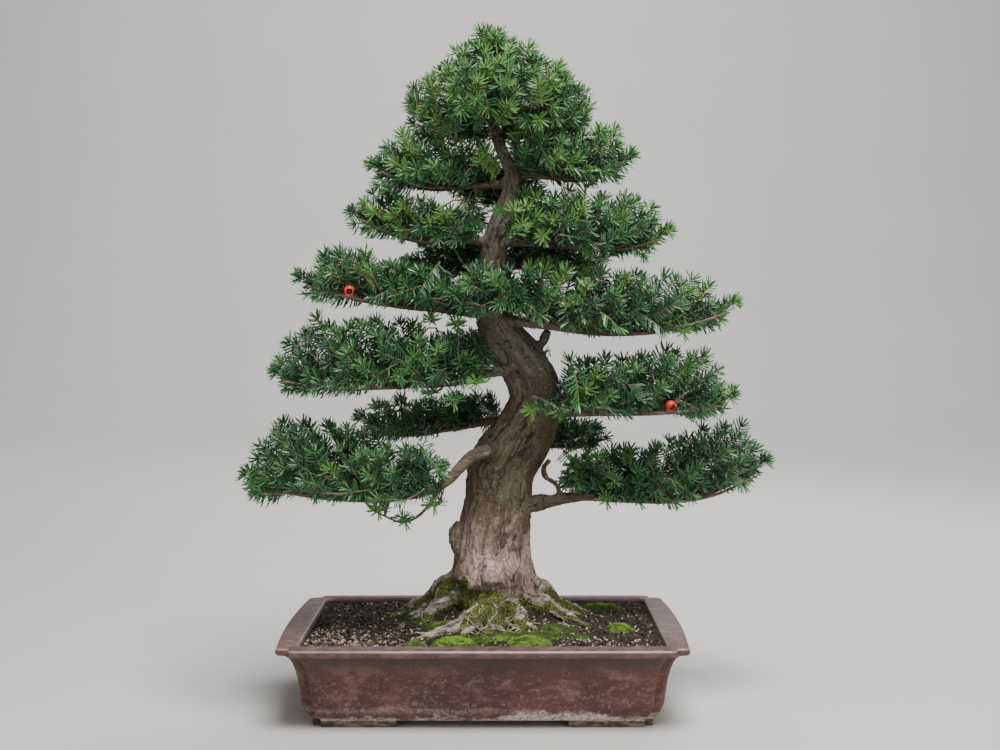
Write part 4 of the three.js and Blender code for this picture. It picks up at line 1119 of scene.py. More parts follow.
def root_and_moss(place, off, tree, radii):
    """How far the skin at a place is root, and how far moss. Off: from the trunk's middle, in radii."""
    x, y, z = place
    over = z - soil_height(x, y)
    spot, index, apart = tree.find(place)
    on_root = 1 - step_between(1.15, 1.5, apart / radii[index])
    high_side = step_between(-0.2, 0.5, (z - spot.z) / radii[index])
    rooty = on_root * (1 - step_between(8, 36, over + 14 * noise.noise(place / 9)))
    apron = bell(x + 4, 46) * (1 - step_between(5, 25, y))
    apron *= (1 - step_between(1.05, 1.35, off)) * (1 - step_between(130, 137, z))
    reach = 27 + 24 * noise.noise(Vector((x / 20, y / 20, 1)))
    hollow = (1 - 0.82 * on_root * high_side) * (1 - step_between(reach, reach + 14, over))
    return rooty, max(hollow, 0.8 * apron, 1 - step_between(1, 3.5, over))


def make_wood():
    """Trunk, roots and branches in one skin, with the bark raised from it. Gives the damp places on it."""
    roots = root_limbs()
    limbs = [(TRUNK_LINE, stem_radius, 90, 0, thick_share(trunk_radius)), *roots]
    for branch in BRANCHES.values():
        radius = branch_radius(branch)
        limbs.append((Line(branch["line"]), radius, 24, 0, thick_share(radius)))
    limbs += [(Line(points), taper(*ends), 10) for points, ends in SPARE_LIMBS]
    bm = bmesh.new()
    bm.from_mesh(tubes(limbs, 2))
    ball = bmesh.ops.create_uvsphere(bm, u_segments=16, v_segments=10, radius=KNUCKLE_RADIUS)["verts"]
    bmesh.ops.scale(bm, verts=ball, vec=(0.8, 1, 1.75))
    bmesh.ops.translate(bm, verts=ball, vec=KNUCKLE)
    bm = modified(bm, "REMESH", mode="VOXEL", voxel_size=WOOD_GRAIN)
    buried = SOIL_EDGE_Z - 8
    everything = bm.verts[:] + bm.edges[:] + bm.faces[:]
    bmesh.ops.bisect_plane(bm, geom=everything, plane_co=(0, 0, buried), plane_no=-UP, clear_outer=True)
    bmesh.ops.holes_fill(bm, edges=[edge for edge in bm.edges if edge.is_boundary], sides=0)
    for _ in range(2):
        bmesh.ops.smooth_vert(
            bm, verts=bm.verts, factor=0.5, use_axis_x=True, use_axis_y=True, use_axis_z=True,
        )
    layers = {name: bm.verts.layers.float.new(name) for name in ("relief", "thin", "mossy", "rooty")}
    grain_layer = bm.verts.layers.float_vector.new("grain")
    tree, radii = close_to(roots)
    bm.normal_update()
    for vert in bm.verts:
        place = vert.co.copy()
        x, y, z = place
        middle_x, middle_y, radius = trunk_at(z)
        away = math.hypot(x - middle_x, y - middle_y)
        turn = math.atan2(x - middle_x, middle_y - y)
        off = away / radius
        off_trunk = step_between(1.25, 1.7, off)
        thin = off_trunk * step_between(150, 175, z)
        rooty, mossy = root_and_moss(place, off, tree, radii) if z < ROOTS_TOP else (0.0, 0.0)
        if off_trunk < 0.5 and rooty < 0.5:
            grain = Vector((x - middle_x, y - middle_y, z))
        else:
            grain = Vector((turn * 34, z, away * 0.7))
        relief = bark_relief(grain, place) + rooty * 0.5 * noise.noise(Vector((x / 4, y / 4, z / 9)))
        depth = mix(mix(5.0, 3.6, step_between(90, 230, z)), 1.1, thin) * min(1, radius / 28 + thin)
        depth = mix(depth, 3.4, rooty)
        lift = (relief - 0.6) * depth + swellings(place, turn, radius) * (1 - off_trunk)
        vert.co += vert.normal * lift
        for name, value in (("relief", relief), ("thin", thin), ("mossy", mossy), ("rooty", rooty)):
            vert[layers[name]] = value
        vert[grain_layer] = grain * MM
    surface = BVHTree.FromBMesh(bm)
    damp = [(vert.co.copy(), vert.normal.copy()) for vert in bm.verts if vert[layers["mossy"]] > DAMP]
    finish_piece("trunk_roots_and_branches", bm, bark(), ["trunk_and_branches"])
    make_strands(surface)
    return damp


# The foliage's sprigs.
def turned(way, over):
    """The turn that points a template's Z along way, and its Y towards over."""
    across = over.cross(way).normalized()
    return Matrix((across, way.cross(across), way)).transposed().to_4x4()


def leaning(ahead, side, lean):
    """A direction that leans from ahead towards side, by an angle."""
    return (ahead * math.cos(lean) + side * math.sin(lean)).normalized()


def add_needle(bm, root, way, over, ahead, length, tip_layer):
    """A flat, keeled needle that is drawn out to a tip and bends towards the end of its shoot."""
    body = length * 0.78
    made = bmesh.ops.create_cone(
        bm, cap_ends=True, segments=3, radius1=0.85, radius2=1, depth=body,
        matrix=Matrix.Translation((0, 0, body / 2)),
    )["verts"]
    ends = {face for vert in made for face in vert.link_faces if len(face.verts) == 3}
    base, top = sorted(ends, key=lambda face: face.calc_center_median().z)
    tip = bmesh.ops.poke(bm, faces=[top])["verts"][0]
    bmesh.ops.delete(bm, geom=[base], context="FACES_ONLY")
    tip.co = (0, 0, length)
    tip[tip_layer] = 1
    made.append(tip)
    shape = Matrix.Diagonal((NEEDLE_WIDTH / 1.73, NEEDLE_THICKNESS / 1.5, 1, 1))
    bmesh.ops.transform(bm, matrix=Matrix.Translation(root) @ turned(way, over) @ shape, verts=made)
    tip.co += (ahead - way * ahead.dot(way)) * length * 0.13


def add_spike(bm, root, way, over, length):
    """A needle of three faces, for where no one sees its form."""
    made = bmesh.ops.create_cone(
        bm, segments=3, radius1=INSIDE_WIDTH / 1.73, radius2=0, depth=length,
        matrix=Matrix.Translation((0, 0, length / 2)),
    )["verts"]
    shape = Matrix.Diagonal((1, 0.5, 1, 1))
    bmesh.ops.transform(bm, matrix=Matrix.Translation(root) @ turned(way, over) @ shape, verts=made)


def new_sprig():
    """An empty mesh with room for the values that the finish of the needles reads."""
    bm = bmesh.new()
    for name in ("fresh", "stem", "tip"):
        bm.verts.layers.float.new(name)
    return bm


def make_inside_sprig(length, sort):
    """A plain, full sprig for the dark inside of a pad."""
    draw = random.Random(sort * 100 + length).uniform
    bm = new_sprig()
    count = round(2 * length / INSIDE_STEP)
    for k in range(count):
        turn = k * 2.4 + draw(-0.3, 0.3)
        lean = math.radians(draw(45, 85))
        side = Vector((math.cos(turn), math.sin(turn), 0))
        way = leaning(UP, side, lean)
        add_spike(bm, UP * length * k / count, way, UP + side * 0.2, NEEDLE_LENGTH * draw(0.9, 1.2))
    bmesh.ops.remove_doubles(bm, verts=bm.verts, dist=0.001)
    return meshed("inside_sprig", bm)


def make_sprig(length, age, sort):
    """A shoot along +Z that bends towards +Y, with needles in two raised ranks and a star round its bud."""
    if age == INSIDE:
        return make_inside_sprig(length, sort)
    draw = random.Random(sort * 100 + length).uniform
    bend = length * draw(0.08, 0.2)
    sway = length * draw(-0.08, 0.08)
    line = Line([(0, 0, -3), (sway * 0.4, bend * 0.1, length * 0.4), (sway, bend, length)])
    bm = new_sprig()
    bm.from_mesh(tubes([(line, lambda share: 0.6 + 0.35 * abs(share - 0.8), 5)], 0))
    fresh, stem, tip = (bm.verts.layers.float.get(name) for name in ("fresh", "stem", "tip"))
    bmesh.ops.create_icosphere(bm, subdivisions=1, radius=1.6, matrix=Matrix.Translation(line.at(1)))
    for vert in bm.verts:
        vert[stem] = 1
    count = round(2 * length / NEEDLE_STEP)
    for k in range(count):
        share = mix(0.08, 0.95, k / count)
        ahead = line.ahead(share)
        lean = math.radians(mix(76, 56, share**2) + draw(-8, 8))
        lift = math.radians(draw(-4, 46) if k % 5 else draw(-40, 95))
        side = Vector((math.cos(lift) * (1 if k % 2 else -1), math.sin(lift), 0))
        way = leaning(ahead, side, lean)
        over = ahead * 0.45 + Vector((0, 0.9, 0))
        full = mix(0.75, 1, min(share * 4, 1)) * draw(0.86, 1.1)
        add_needle(bm, line.at(share), way, over, ahead, NEEDLE_LENGTH * full, tip)
    ahead = line.ahead(1)
    for k in range(STAR_NEEDLES):
        turn = (k + draw(-0.3, 0.3)) / STAR_NEEDLES * 2 * math.pi
        lean = math.radians(draw(44, 82) if k % 3 else draw(24, 44))
        side = Vector((math.cos(turn), math.sin(turn), 0))
        way = leaning(ahead, side, lean)
        add_needle(bm, line.at(0.97), way, ahead, ahead, NEEDLE_LENGTH * draw(0.8, 1.05), tip)
    for vert in bm.verts:
        vert[fresh] = min(age + 0.45 * max(0, vert.co.z / length - 0.4) ** 1.5, 1)
    return meshed("sprig", bm)


def make_sprigs():
    """Every sort of sprig, by length and age."""
    return {
        (length, age, sort): make_sprig(length, age, sort)
        for length in SPRIG_LENGTHS
        for age in (INSIDE, *SPRIG_AGES)
        for sort in range(SPRIG_SORTS)
    }


def hides_aril(place):
    """Whether a place is in or close in front of an aril."""
    for middle, _ in ARILS.values():
        off = place - middle
        wide = max(abs(off.x), abs(off.z + off.y * 0.1))
        if wide < ARIL_ROOM["aside"] and -ARIL_ROOM["in front"] < off.y < ARIL_ROOM["behind"]:
            return True
    return False


def hides_wood(place):
    """Whether a place is in front of the trunk where it shows."""
    if place.y > trunk_at(place.z)[1]:
        return False
    return any(left < place.x < right and low < place.z < high for left, right, low, high in WINDOWS)


# How thick the trunk has to be for sprigs to keep clear of it, and how far they do.
THICK_TRUNK = 3.2
TRUNK_CLEAR = 6


def in_trunk(place):
    middle_x, middle_y, radius = trunk_at(place.z)
    apart = math.hypot(place.x - middle_x, place.y - middle_y)
    return radius > THICK_TRUNK and apart < radius + TRUNK_CLEAR


# The box that the middle lines of the sprigs stay in, so that the whole keeps to the solids' box.
FURTHEST_LOW = (Vector(CAD_LOW) - POT_MIDDLE) / MM - Vector((6, 6, 0))
FURTHEST_HIGH = (Vector(CAD_HIGH) - POT_MIDDLE) / MM + Vector((6, -6, 6))


def within_reach(place):
    return all(low < here < high for low, here, high in zip(FURTHEST_LOW, place, FURTHEST_HIGH))


# The radius of a twig that carries one sprig, before what its load adds.
THINNEST_TWIG = 0.75


class Pad:
    """The foliage of a branch or of the crown: its sprigs, and the thin wood that carries them."""

    def __init__(self, line, radius, start, end, seed, longest=SPRIG_LENGTHS[-1]):
        self.random = random.Random(seed)
        self.longest = longest
        self.draw = self.random.uniform
        self.heart = line.at(mix(start, end, 0.5))
        self.limbs = [(line, radius, 16, thick_share(radius) - 0.03, end)]
        self.sprigs = []
        self.wishes = []
        # Where a twig may leave from: [place, joint before it, sprigs beyond it, how far out it is].
        self.joints = []
        self.root_in(line, start, end)

    def root_in(self, line, start, end):
        """Lets twigs leave from a line of firm wood."""
        self.joints += [[line.at(mix(start, end, k / 40)), -1, 0, 0] for k in range(41)]

    def run(self, points, first, last):
        """Adds a side branch that carries twigs too."""
        line = Line(points, 6)
        self.limbs.append((line, taper(first, last), 12))
        self.root_in(line, 0.15, 1)

    def wild(self, reach):
        """A push in any direction."""
        return Vector((self.draw(-1, 1), self.draw(-1, 1), self.draw(-1, 1))) * reach

    def wish(self, tip, way, over, young=0.0, lowest=0, longest=None):
        """Notes that a sprig shall end at a tip, if nothing is in its way, and start no lower than lowest."""
        wanted = min(self.random.choice(SPRIG_LENGTHS), longest or self.longest)
        for length in sorted(SPRIG_LENGTHS, reverse=True):
            if length > wanted:
                continue
            reach = length + STAR_REACH
            rise = min(way.normalized().z, max((tip.z - lowest) / reach, -0.1))
            flat = Vector((way.x, way.y, 0)).normalized()
            aim = flat * math.sqrt(1 - rise * rise) + UP * rise
            root = tip - aim * reach
            spots = (root, root.lerp(tip, 0.5), tip)
            if any(hides_aril(spot) or hides_wood(spot) for spot in spots):
                continue
            if any(in_trunk(spot) or not within_reach(spot) for spot in spots):
                continue
            self.wishes.append((root, aim, over, length, young))
            return

    def cover(self, place_at, turns, step, lead, lowest_at, inner):
        """Wishes for sprigs with their tips scattered over a surface, at least a step apart."""
        tips = []
        nudge = 0.03
        # The share of the tips that lie in the surface. The others stand out of it.
        level = 0.85
        for _ in range(DARTS):
            share = 0.5 - 0.5 * math.cos(math.pi * self.draw(0.03, 0.97))
            turn = self.draw(*turns)
            tip = place_at(share, turn)
            if any((tip - other).length < step for other in tips):
                continue
            tips.append(tip)
            onward = place_at(share + nudge, turn) - place_at(share - nudge, turn)
            around = place_at(share, turn + nudge) - place_at(share, turn - nudge)
            normal = onward.cross(around).normalized()
            if normal.dot(tip - self.heart) < 0:
                normal.negate()
            way = normal * 0.42 + lead(share, turn) + self.wild(0.3)
            out = normal * (self.draw(-5, 4) if self.draw(0, 1) < level else self.draw(4, 11))
            flat = self.wild(0.9)
            flat.z = 0
            self.wish(tip + out, way, normal + flat, INSIDE if inner else 0, lowest_at(share))

    def stand(self, root, way, over, length, young):
        """Stands a sprig on its root, with its broad side towards over."""
        if young == INSIDE:
            age = INSIDE
        else:
            young += self.draw(0, 1) + mix(-0.2, 0.26, step_between(230, 760, root.z)) + way.z * 0.15
            age = SPRIG_AGES[bisect.bisect_right(AGE_STEPS, young)]
        turn = turned(way, over) @ Matrix.Scale(self.draw(0.92, 1.08), 4)
        sort = (length, age, self.random.randrange(SPRIG_SORTS))
        self.sprigs.append((sort, Matrix.Translation(root) @ turn))

    def grow(self, lag):
        """Leads wood to every sprig from the nearest joint that lags behind it, and stands the sprigs."""
        firm = len(self.joints)

        def far_out(place):
            return min((place - joint[0]).length for joint in self.joints[:firm])

        self.wishes.sort(key=lambda wish: far_out(wish[0]))
        twigs = []
        for root, way, over, length, young in self.wishes:
            out = far_out(root)
            behind = root - (way + (root - self.heart).normalized()) * lag / 2 - UP * 5

            def cost(k, behind=behind, out=out):
                joint = self.joints[k]
                return (joint[0] - behind).length + 3 * max(0, joint[3] - 0.7 * out)

            parent = min(range(len(self.joints)), key=cost)
            start = self.joints[parent][0]
            knee = start.lerp(root, 0.55) + (self.wild(0.07) - way * 0.16) * min((root - start).length, 45)
            twigs.append((start, knee, root, len(self.joints)))
            self.joints.append([knee, parent, 0, far_out(knee)])
            self.joints.append([root, len(self.joints) - 1, 1, out])
            self.stand(root, way, over, length, young)
        for joint in reversed(self.joints[firm:]):
            self.joints[joint[1]][2] += joint[2]
        for start, knee, root, middle_joint in twigs:
            load = self.joints[middle_joint][2]
            thick = min(THINNEST_TWIG + 0.32 * math.sqrt(load), 2.6)
            line = Line([start, knee, root + (root - knee).normalized()], 4)
            thin = min(THINNEST_TWIG + 0.3 * math.sqrt(max(load - 1, 0)), 2.2)
            self.limbs.append((line, taper(thick, thin), 3))

    def finish(self, name, sprigs, needles, skin, replaced):
        leaves = bmesh.new()
        for sort, stand in self.sprigs:
            strew(leaves, sprigs[sort], [stand])
        finish_piece(f"needles_{name}", leaves, needles, [replaced], smooth=False)
        wood = bmesh.new()
        wood.from_mesh(tubes(self.limbs, 0))
        finish_piece(f"twigs_{name}", wood, skin)


def clearance(share):
    """How far over its branch a pad starts: the wood shows below it, and its end hangs over the branch's."""
    return mix(18, 10, step_between(0, 0.25, share)) - 20 * step_between(0.65, 1, share)


def aside(line, share):
    """The level direction square to a branch, towards the front."""
    ahead = line.ahead(share)
    way = Vector((ahead.y, -ahead.x, 0)).normalized()
    return -way if way.y > 0 else way


def pad_surface(branch, line, size):
    """The place on a pad's outside at a share of its length, turned from front over top to back."""

    def place_at(share, turn):
        share = min(max(share, 0), 1)
        along = mix(branch["bare"], 1, share)
        full = size * (1 - abs(2 * share - 1) ** 5) ** 0.4
        full *= mix(branch.get("near", 1), 1, step_between(0, 0.6, share))
        full *= mix(1, branch.get("far", 1), step_between(0.45, 0.9, share))
        reach = branch["front" if math.cos(turn) > 0 else "back"]
        clear = clearance(share)
        height = branch["rise"] - clear if math.sin(turn) > 0 else 6
        out = aside(line, along) * math.cos(turn) * reach + UP * math.sin(turn) * height
        return line.at(along) + UP * clear + out * full

    return place_at


def runner(branch, line, start, spread):
    """A side branch that runs along under a pad. Spread: at what share of the pad's breadth."""
    reach = branch["front"] if spread > 0 else branch["back"]
    points = []
    for part, out in ((0, 0), (0.25, 0.6), (0.6, 1), (1, 1.15)):
        share = mix(start, 0.97, part)
        points.append(line.at(share) + aside(line, share) * reach * spread * out - UP * 3 * part)
    return points


# The side branches under every pad: [share of the branch where it leaves, share of the pad's breadth].
RUNNERS = [(0.30, 0.34), (0.48, 0.62), (0.36, -0.4), (0.60, -0.3)]
# The sprigs at a branch's end: how they turn from straight ahead, and how far past it their tips are.
END_TURNS = (-0.7, -0.1, 0.5)
END_REACH = 17


def grow_pad(branch, seed):
    """A pad: sprigs all over a flattened dome that stands on the branch, and older ones inside it."""
    line = Line(branch["line"])
    radius = branch_radius(branch)
    pad = Pad(line, radius, branch["bare"] * 0.6, 1, seed)
    ahead = line.at(1) - line.at(0.5)
    ahead.z = 0
    ahead.normalize()

    def lead(share, turn):
        return ahead * mix(0.1, 0.75, share) + UP * mix(0.12, 0.62, max(math.sin(turn), 0))

    def lowest_at(share):
        return line.at(mix(branch["bare"], 1, share)).z + clearance(share) - 3

    for start, spread in RUNNERS:
        pad.run(runner(branch, line, start, spread), radius(start) * 0.55, 1.1)
    if "spray" in branch:
        pad.run(branch["spray"], 2.6, 1.1)
    for size, step in LAYERS:
        pad.cover(pad_surface(branch, line, size), (-0.6, math.pi + 0.6), step, lead, lowest_at, size < 1)
    for turn in END_TURNS:
        way = ahead.copy()
        way.rotate(Matrix.Rotation(turn, 3, "Z"))
        way.z = pad.draw(0.1, 0.4)
        pad.wish(line.at(1) + way.normalized() * END_REACH, way, UP + pad.wild(0.4))
    for place in branch.get("stars", []):
        way = Vector((pad.draw(-0.3, 0.3), -1, pad.draw(-0.25, 0.1)))
        pad.wish(Vector(place), way, UP, young=0.45, longest=SPRIG_LENGTHS[0])
    pad.grow(26)
    return pad


# How deep the crown is from front to back, as a share of its width.
CROWN_DEPTH = 0.84


def crown_surface(size):
    """The place on the crown's outside at a share of its height, turned round it."""
    low, high = CROWN[0][0], CROWN[-1][0]

    def place_at(share, turn):
        height = mix(low, high, min(max(share, 0), 1))
        reach = table_value(CROWN, height) * size
        lowered = low + (height - low) * mix(0.7, 1, size)
        middle_y = trunk_at(height)[1]
        x = table_value(CROWN, height, 2) + math.cos(turn) * reach
        return Vector((x, middle_y + math.sin(turn) * reach * CROWN_DEPTH, lowered))

    return place_at


def grow_crown(seed):
    """The crown: sprigs all over its outline and inside it, level below and steep at the top."""
    pad = Pad(TRUNK_LINE, trunk_radius, 0.86, 0.965, seed, SPRIG_LENGTHS[1])

    def lead(share, turn):
        return UP * mix(0.1, 0.8, share)

    for size, step in LAYERS:
        for turns in ((0, math.pi), (math.pi, 2 * math.pi)):
            pad.cover(crown_surface(size), turns, step - 1, lead, lambda share: CROWN[0][0] - 2, size < 1)
    for tip, way in PEAK:
        pad.wish(Vector(tip), Vector(way), Vector((0, -1, 0.2)))
    pad.grow(30)
    return pad


def make_foliage():
    """The pads and the crown, each a piece of needles and a piece of twigs."""
    sprigs, needles, skin = make_sprigs(), needles_finish(), twig_skin()
    for index, (name, branch) in enumerate(BRANCHES.items()):
        grow_pad(branch, 60 + index).finish(name, sprigs, needles, skin, f"foliage_{name}")
    grow_crown(90).finish("crown", sprigs, needles, skin, "foliage_crown")
    for sprig in sprigs.values():
        bpy.data.meshes.remove(sprig)


# The soil, its grains and its moss.
def cavity_half(height):
    """Half the hollow's width and depth at a height."""
    inset = table_value(sorted(CAVITY), height)
    return POT_WIDTH / 2 - inset, POT_DEPTH / 2 - inset


def make_soil():
    """The body of soil: a crumbly top, and sides that follow the hollow down to its floor."""
    clear = 0.4
    half_x, half_y = (half - clear for half in cavity_half(SOIL_EDGE_Z))
    bm = bmesh.new()
    bmesh.ops.create_grid(bm, x_segments=130, y_segments=90, size=1)
    bmesh.ops.scale(bm, verts=bm.verts, vec=(half_x, half_y, 1))
    inner = (half_x - CAVITY_CORNER, half_y - CAVITY_CORNER)
    for vert in bm.verts:
        over_x, over_y = abs(vert.co.x) - inner[0], abs(vert.co.y) - inner[1]
        if over_x > 0 and over_y > 0:
            pull = min(1, CAVITY_CORNER / math.hypot(over_x, over_y))
            vert.co.x = math.copysign(inner[0] + over_x * pull, vert.co.x)
            vert.co.y = math.copysign(inner[1] + over_y * pull, vert.co.y)
        x, y = vert.co.x, vert.co.y
        crumbs = noise.fractal(Vector((x / 9, y / 9, 0)), 0.8, 2.0, 4)
        vert.co.z = soil_height(x, y) + 1.6 * crumbs
    sides = [edge for edge in bm.edges if edge.is_boundary]
    for height in (70, 22, FLOOR_TOP + clear):
        new_x, new_y = (half - clear for half in cavity_half(height))
        made = bmesh.ops.extrude_edge_only(bm, edges=sides)["geom"]
        verts, sides = only(made, bmesh.types.BMVert), only(made, bmesh.types.BMEdge)
        bmesh.ops.scale(bm, verts=verts, vec=(new_x / half_x, new_y / half_y, 1))
        half_x, half_y = new_x, new_y
        for vert in verts:
            vert.co.z = height
    bmesh.ops.edgenet_fill(bm, edges=sides)
    bmesh.ops.recalc_face_normals(bm, faces=bm.faces)
    finish_piece("soil_mix", bm, soil_finish(), ["soil"])


def make_grain(tone, seed):
    """One rough, angular grain, about 1 mm across."""
    shape = random.Random(seed)
    bm = bmesh.new()
    layer = bm.verts.layers.float.new("tone")
    bmesh.ops.create_cube(bm, size=0.72)
    for vert in bm.verts:
        vert.co *= shape.uniform(0.6, 1.15)
        vert[layer] = tone
    spans = ((1.0, 1.5), (0.8, 1.0), (0.6, 0.8))
    bmesh.ops.scale(bm, verts=bm.verts, vec=tuple(shape.uniform(*span) for span in spans))
    return meshed("grain", bm)


# The sorts of grain, the dark ones first and the white ones last, and how many grains there are.
GRAIN_TONES = (0.0, 0.1, 0.2, 0.3, 0.0, 0.38, 0.44, 0.5, 0.56, 0.66, 0.78, 0.97)
DARK_SORTS = 5
WHITE_SORTS = 3
GRAINS = 4900
# Where the coarse tan grains and the white ones lie thickest: [middle, spread].
TAN_CORNER = ((-165, -105), (82, 80))
WHITE_CORNER = ((130, -105), (60, 50))


def nearness(x, y, patch):
    """1 in the middle of a soft patch, and less all round it."""
    (middle_x, middle_y), (spread_x, spread_y) = patch
    return math.exp(-(((x - middle_x) / spread_x) ** 2 + ((y - middle_y) / spread_y) ** 2))


def make_grit():
    """The loose grains on top: tan and coarse near the left front corner, white near the right front."""
    grains = [make_grain(tone, 7 + k) for k, tone in enumerate(GRAIN_TONES)]
    chance = random.Random(23)
    draw = chance.uniform
    half_x, half_y = (half - 2.5 for half in cavity_half(SOIL_EDGE_Z))
    bm = bmesh.new()
    for _ in range(GRAINS):
        x, y = draw(-half_x, half_x), draw(-half_y, half_y)
        if min(half_x - abs(x), half_y - abs(y)) < 3 and max(abs(x) / half_x, abs(y) / half_y) > 0.97:
            if half_x - abs(x) < 10 and half_y - abs(y) < 10:
                continue
        cluster = noise.noise(Vector((x / 30, y / 30, 4)))
        tan, white = nearness(x, y, TAN_CORNER), nearness(x, y, WHITE_CORNER)
        pale = draw(0, 1) < 0.21 + 0.55 * cluster + 0.62 * tan + 0.25 * white
        sorts = grains[DARK_SORTS:] if pale else grains[:DARK_SORTS]
        if pale and draw(0, 1) < white:
            sorts = grains[-WHITE_SORTS:]
        size = draw(1.5, 3.9) * (1 + 0.9 * tan * draw(0, 1) ** 3)
        place = Vector((x, y, soil_height(x, y) + size * draw(0.05, 0.35)))
        way = Vector((draw(-1, 1), draw(-1, 1), draw(0.3, 1))).normalized()
        strew(bm, chance.choice(sorts), [standing_at(place, way, draw(0, 6), size)])
    finish_piece("soil_grains", bm, grit_finish(), smooth=False)
    for grain in grains:
        bpy.data.meshes.remove(grain)


def make_tuft():
    """A tuft of moss: a few short leaves that spread from one root, with Z up."""
    bm = bmesh.new()
    tip = bm.verts.layers.float.new("tip")
    leaves = 6
    for k in range(leaves):
        turn = k / leaves * 2 * math.pi
        lean = Vector((math.cos(turn), math.sin(turn), 0.75 + 0.5 * (k % 2))).normalized()
        matrix = lean.to_track_quat("Z", "Y").to_matrix().to_4x4() @ Matrix.Translation((0, 0, 0.5))
        made = bmesh.ops.create_cone(bm, segments=3, radius1=0.3, radius2=0, depth=1, matrix=matrix)["verts"]
        for vert in made:
            vert[tip] = step_between(0.2, 0.95, vert.co.length)
    bmesh.ops.remove_doubles(bm, verts=bm.verts, dist=0.001)
    return meshed("tuft", bm)


def moss_cushion(bm, tuft, spec, draw, spacing=2.1):
    """A low uneven dome, set all over with tufts."""
    x, y, half_x, half_y, height = spec
    layer = bm.verts.layers.float.get("tip") or bm.verts.layers.float.new("tip")

    def spread(flat):
        """Where in the cushion's uneven outline a place of a round one lies."""
        uneven = 1 + 0.22 * noise.noise(Vector((flat.x * 1.6 + x, flat.y * 1.6 + y, 0)))
        return Vector((x + flat.x * half_x * uneven * 0.95, y + flat.y * half_y * uneven * 0.95, 0))

    dome = bmesh.ops.create_icosphere(bm, subdivisions=3, radius=1)["verts"]
    for vert in dome:
        lumps = 0.2 * noise.noise(vert.co * 4 + Vector((x, y, 0)))
        here = spread(vert.co)
        here.z = soil_height(here.x, here.y) - 2 + max(vert.co.z, -0.2) * (height * 0.8 + 2) * (1 + lumps)
        vert.co = here
        vert[layer] = 0.35
    places = []
    for _ in range(round(math.pi * half_x * half_y / spacing**2)):
        turn, out = draw(0, 2 * math.pi), math.sqrt(draw(0, 1))
        flat = Vector((math.cos(turn) * out, math.sin(turn) * out, 0))
        top = math.sqrt(max(0, 1 - out * out))
        place = spread(flat)
        place.z = soil_height(place.x, place.y) - 2.4 + top * (height * 0.8 + 2)
        way = Vector((flat.x * 0.9 + draw(-0.3, 0.3), flat.y * 0.9 + draw(-0.3, 0.3), 0.8))
        places.append(standing_at(place, way.normalized(), draw(0, 6), draw(1.6, 3.8)))
    strew(bm, tuft, places)


# The thin moss between the roots, in the same way as the cushions.
CARPETS = [
    (-6, -98, 26, 14, 4), (28, -88, 26, 18, 5), (62, -84, 30, 20, 4), (86, -52, 24, 20, 4),
    (-52, -44, 26, 16, 5), (-78, -12, 22, 14, 4), (-28, -62, 18, 12, 4), (-92, 24, 16, 18, 4),
    (100, 20, 20, 12, 4), (10, 108, 34, 16, 5), (104, -86, 18, 12, 3), (-118, -112, 9, 6, 4),
    (126, 84, 22, 12, 4), (-6, -122, 12, 8, 5),
]
# How far apart the tufts of the thin moss stand, and how many stand on the wood itself, between the roots.
THIN_SPACING = 3.2
WOOD_TUFTS = 1700


def make_moss(damp):
    """The cushions, each a piece of its own, and the thin carpet between the roots and on them."""
    tuft, finish = make_tuft(), moss_finish("moss", 0.36, 0.56)
    draw = random.Random(31).uniform
    for name, spec in MOSS.items():
        bm = bmesh.new()
        moss_cushion(bm, tuft, spec, draw)
        finish_piece(name.replace("moss", "moss_tufts"), bm, finish, [name])
    bm = bmesh.new()
    for spec in CARPETS:
        moss_cushion(bm, tuft, spec, draw, THIN_SPACING)
    chance = random.Random(37)
    for place, normal in chance.sample(damp, min(WOOD_TUFTS, len(damp))):
        way = (normal + Vector((0, 0, 0.5))).normalized()
        turn, size = chance.uniform(0, 6), chance.uniform(1.3, 2.5)
        strew(bm, tuft, [standing_at(place - normal * 0.4, way, turn, size)])
    finish_piece("moss_carpet", bm, moss_finish("thin_moss", 0.50, 0.66))
    bpy.data.meshes.remove(tuft)


# The arils.
def spun(profile, middle, lean):
    """A body turned from a profile, with its axis along lean."""
    bm = bmesh.new()
    points = [bm.verts.new(spot) for spot in profile]
    edges = [bm.edges.new(pair) for pair in zip(points, points[1:])]
    bmesh.ops.spin(
        bm, geom=points + edges, cent=(0, 0, 0), axis=(0, 0, 1), angle=2 * math.pi, steps=28,
        use_merge=True,
    )
    bmesh.ops.remove_doubles(bm, verts=bm.verts, dist=0.01)
    bmesh.ops.recalc_face_normals(bm, faces=bm.faces)
    bm.transform(Matrix.Translation(middle) @ lean.to_track_quat("Z", "Y").to_matrix().to_4x4())
    return bm


def make_arils():
    """The fleshy cups with their seeds."""
    flesh, seed = aril_finish(), seed_finish()
    outside = Line([(0, 0, -5.6), (3.4, 0, -4.7), (5.7, 0, -2), (5.9, 0, 1), (4.9, 0, 4), (3.9, 0, 5)])
    inside = Line([(3.5, 0, 4.6), (3.4, 0, 2.4), (2.6, 0, -0.6), (0, 0, -2.6)])
    cup = [line.at(k / 9) for line in (outside, inside) for k in range(10)]
    kernel = Line([(0, 0, -2.3), (2.6, 0, -0.2), (2.7, 0, 2), (1.4, 0, 3.6), (0, 0, 4)])
    stone = [kernel.at(k / 8) for k in range(9)]
    for side, (middle, lean) in ARILS.items():
        finish_piece(f"aril_flesh_{side}", spun(cup, middle, lean), flesh, [f"aril_{side}"])
        finish_piece(f"seed_stone_{side}", spun(stone, middle, lean), seed, [f"seed_{side}"])


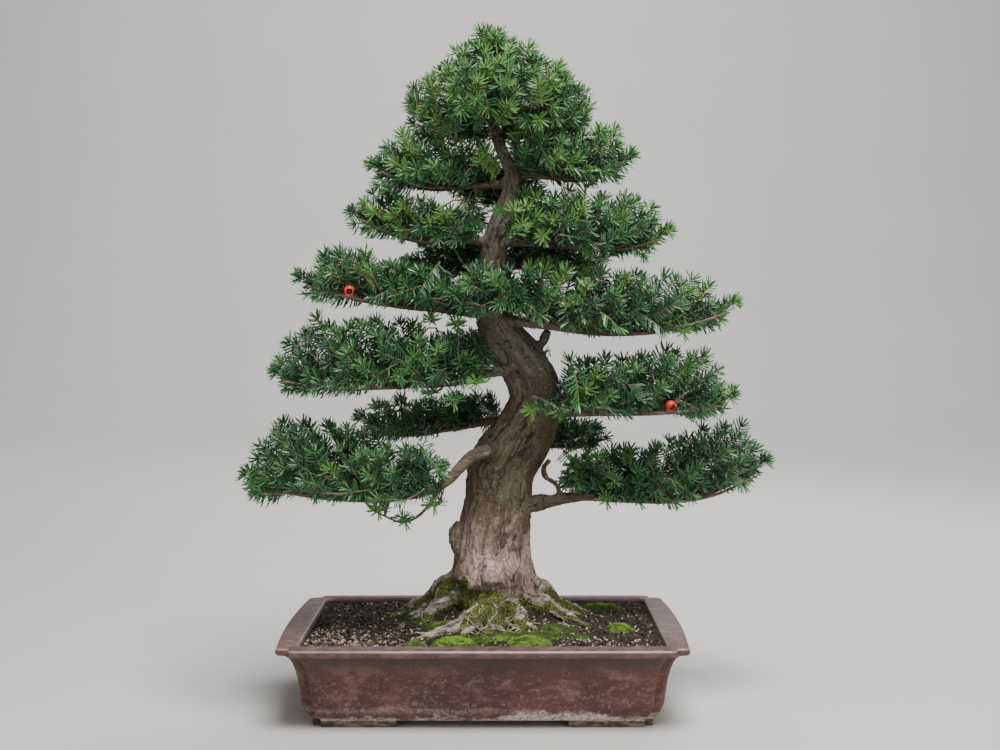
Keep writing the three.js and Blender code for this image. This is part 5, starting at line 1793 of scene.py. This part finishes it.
# The room round it.
def make_camera():
    camera = bpy.data.cameras.new("camera")
    camera.lens = CAMERA_LENS
    camera.clip_end = 30
    holder = shown("camera", camera)
    holder.location = TO_FRAME @ CAMERA_SPOT
    holder.rotation_euler = (math.radians(90 - CAMERA_PITCH), 0, 0)
    bpy.context.scene.camera = holder


def make_light(name, place, size, watts, colour, target=Vector((0, 0, 0.4))):
    lamp = bpy.data.lights.new(name, "AREA")
    lamp.size = size
    lamp.energy = watts
    lamp.color = colour
    holder = shown(name, lamp)
    holder.location = place
    aim = target - Vector(place)
    holder.rotation_euler = aim.to_track_quat("-Z", "Y").to_euler()


def make_studio():
    """A pale floor that curves up behind, soft lights from above, in front and behind, and a pale room."""
    bm = bmesh.new()
    bmesh.ops.create_grid(bm, x_segments=1, y_segments=1, size=6)
    back = [edge for edge in bm.edges if all(vert.co.y > 5 for vert in edge.verts)]
    wall = bmesh.ops.extrude_edge_only(bm, edges=back)["geom"]
    bmesh.ops.translate(bm, verts=only(wall, bmesh.types.BMVert), vec=(0, 0, 5))
    bmesh.ops.bevel(bm, geom=back, offset=2, segments=16, profile=0.5, affect="EDGES", material=-1)
    for face in bm.faces:
        face.smooth = True
    mesh = meshed("floor", bm)
    paper = Finish("paper")
    mottle = paper.cloud(3, 2)
    mesh.materials.append(paper.done(paper.paint(mottle, (0.60, 0.59, 0.57), (0.64, 0.63, 0.61)), 0.8))
    shown("floor", mesh)
    make_light("overhead", (0.25, -0.9, 2.3), 1.2, 79, (1.0, 0.98, 0.95))
    make_light("front", (1.0, -2.4, 1.1), 1.6, 12.5, (0.95, 0.97, 1.0))
    make_light("behind", (0.7, 1.6, 2.0), 1.4, 40, (1.0, 0.99, 0.97))
    make_light("backdrop", (0, 2.8, 3.4), 2.5, 150, (1.0, 1.0, 1.0), Vector((0, 6, 0.9)))
    world = bpy.data.worlds.new("room")
    world.use_nodes = True
    world.node_tree.nodes["Background"].inputs["Color"].default_value = (0.78, 0.80, 0.83, 1)
    world.node_tree.nodes["Background"].inputs["Strength"].default_value = 0.33
    bpy.context.scene.world = world


make_camera()
make_studio()
make_pot()
black_mesh = plastic_finish()
for screen in ("drain_screen_left", "drain_screen_right"):
    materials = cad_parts[screen].data.materials
    materials.clear()
    materials.append(black_mesh)
make_soil()
make_grit()
make_moss(make_wood())
make_foliage()
make_arils()
